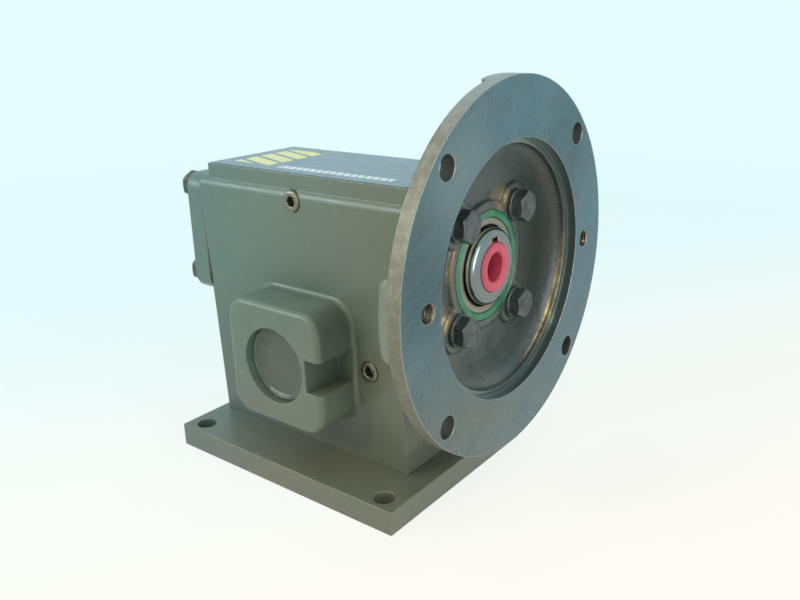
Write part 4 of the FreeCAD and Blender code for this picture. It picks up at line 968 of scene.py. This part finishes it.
def quill_cup():
    """Red plug: a cup with a rounded rim, open towards the motor."""
    low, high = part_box("quill_plug")
    radius = high.y
    length = high.x - low.x
    hollow = radius - CUP_RIM
    profile = [
        (-length, radius - 0.4 * MM), (0.4 * MM - length, radius), (-1.1 * MM, radius),
        (-0.4 * MM, radius - 0.3 * MM), (-0.05 * MM, radius - 0.9 * MM), (0, radius - 1.5 * MM),
        (-0.15 * MM, hollow), (-0.9 * MM, hollow - 0.6 * MM),
        (2.6 * MM - length, hollow - 1.3 * MM), (2.0 * MM - length, hollow - 2.0 * MM),
    ]
    bm = bmesh.new()
    turned(bm, profile, facing((high.x, 0, WORM_Z), (1, 0, 0), (0, 0, 1)), segments=96)
    new_piece("quill_cup", bm, "plug", MATERIALS["red_plastic"], "quill_plug")


def bore_cup():
    """Pressed cup in the blind bore: dished face inside a rounded lip."""
    low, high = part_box("bore_cap")
    radius = high.x
    depth = high.y - low.y
    profile = [
        (-depth, radius - 0.3 * MM), (-depth + 0.3 * MM, radius), (0.4 * MM, radius),
        (0.9 * MM, radius - 0.25 * MM), (1.1 * MM, radius - 0.75 * MM), (0.9 * MM, radius - 1.3 * MM),
        (0.2 * MM, radius - 1.8 * MM), (-0.5 * MM, radius - 3.0 * MM),
        (-0.9 * MM, radius * 0.6), (-1.0 * MM, radius * 0.2),
    ]
    bm = bmesh.new()
    turned(bm, profile, facing((0, low.y, OUTPUT_Z), (0, -1, 0), (1, 0, 0)), segments=96)
    new_piece("bore_cup", bm, "housing", MATERIALS["cap_paint"], "bore_cap")


# Tapped threads and the plate on the pad

def thread(bm, place, radius, segments=36):
    """A sleeve with a helical ridge on its inside, its mouth at local X zero."""
    steps = int(THREAD_LENGTH / THREAD_PITCH * segments)
    shape = ((0.0, 0.0), (0.42, 1.0), (0.58, 1.0), (1.0, 0.0))
    previous = None
    for i in range(steps + 1):
        angle = 2 * math.pi * i / segments
        row = []
        for share, rise in shape:
            x = -min(THREAD_LENGTH, max(0.0, (i / segments + share - 1.0) * THREAD_PITCH))
            r = radius - THREAD_DEPTH * rise
            row.append(bm.verts.new(place @ Vector((x, r * math.cos(angle), r * math.sin(angle)))))
        if previous:
            for k in range(len(shape) - 1):
                bm.faces.new((previous[k], previous[k + 1], row[k + 1], row[k]))
        previous = row


def threads():
    bm = bmesh.new()
    sizes = MOUNTS["flange_side_holes"]["dims"]
    reach = sizes["spacing_x_mm"] / 2 * MM
    radius = sizes["hole_r_mm"] * MM
    for side in (1, -1):
        spot = (FLANGE_FACE - 0.3 * MM, side * reach, WORM_Z)
        thread(bm, facing(spot, (1, 0, 0), (0, 0, 1)), radius)
    new_piece("side_threads", bm, "housing", MATERIALS["thread_iron"])


def name_plate():
    """Thin plate with rounded corners and a small chamfer, on the pad of the case."""
    low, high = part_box("gear_housing")
    x0, x1 = low.x + PLATE_MARGIN, high.x
    left, right = x0 + PLATE_INSET, x1 - PLATE_INSET
    half = PLATE_HALF - PLATE_INSET
    outline = rounded([(left, -half), (right, -half), (right, half), (left, half)], PLATE_CORNER)
    middle = Vector(((x0 + x1) / 2, 0.0))
    bm = bmesh.new()
    levels = []
    for z, shrink in PLATE_LEVELS:
        level = []
        for point in outline:
            drawn = point - (point - middle).normalized() * shrink
            level.append(bm.verts.new((drawn.x, drawn.y, high.z + z)))
        levels.append(level)
    bm.faces.new(levels[0])
    bm.faces.new(levels[-1])
    joined(bm, zip(levels, levels[1:]))
    print_face = name_plate_print(Vector((x0, -PLATE_HALF, 0)), Vector((x1, PLATE_HALF, 0)))
    new_piece("name_plate", bm, "housing", print_face)


dress_nodes()
bolts()
pipe_plugs()
seals()
quill_cup()
bore_cup()
threads()
name_plate()
floor()
lights()
world()
camera()
bpy.context.scene.view_settings.view_transform = "Standard"
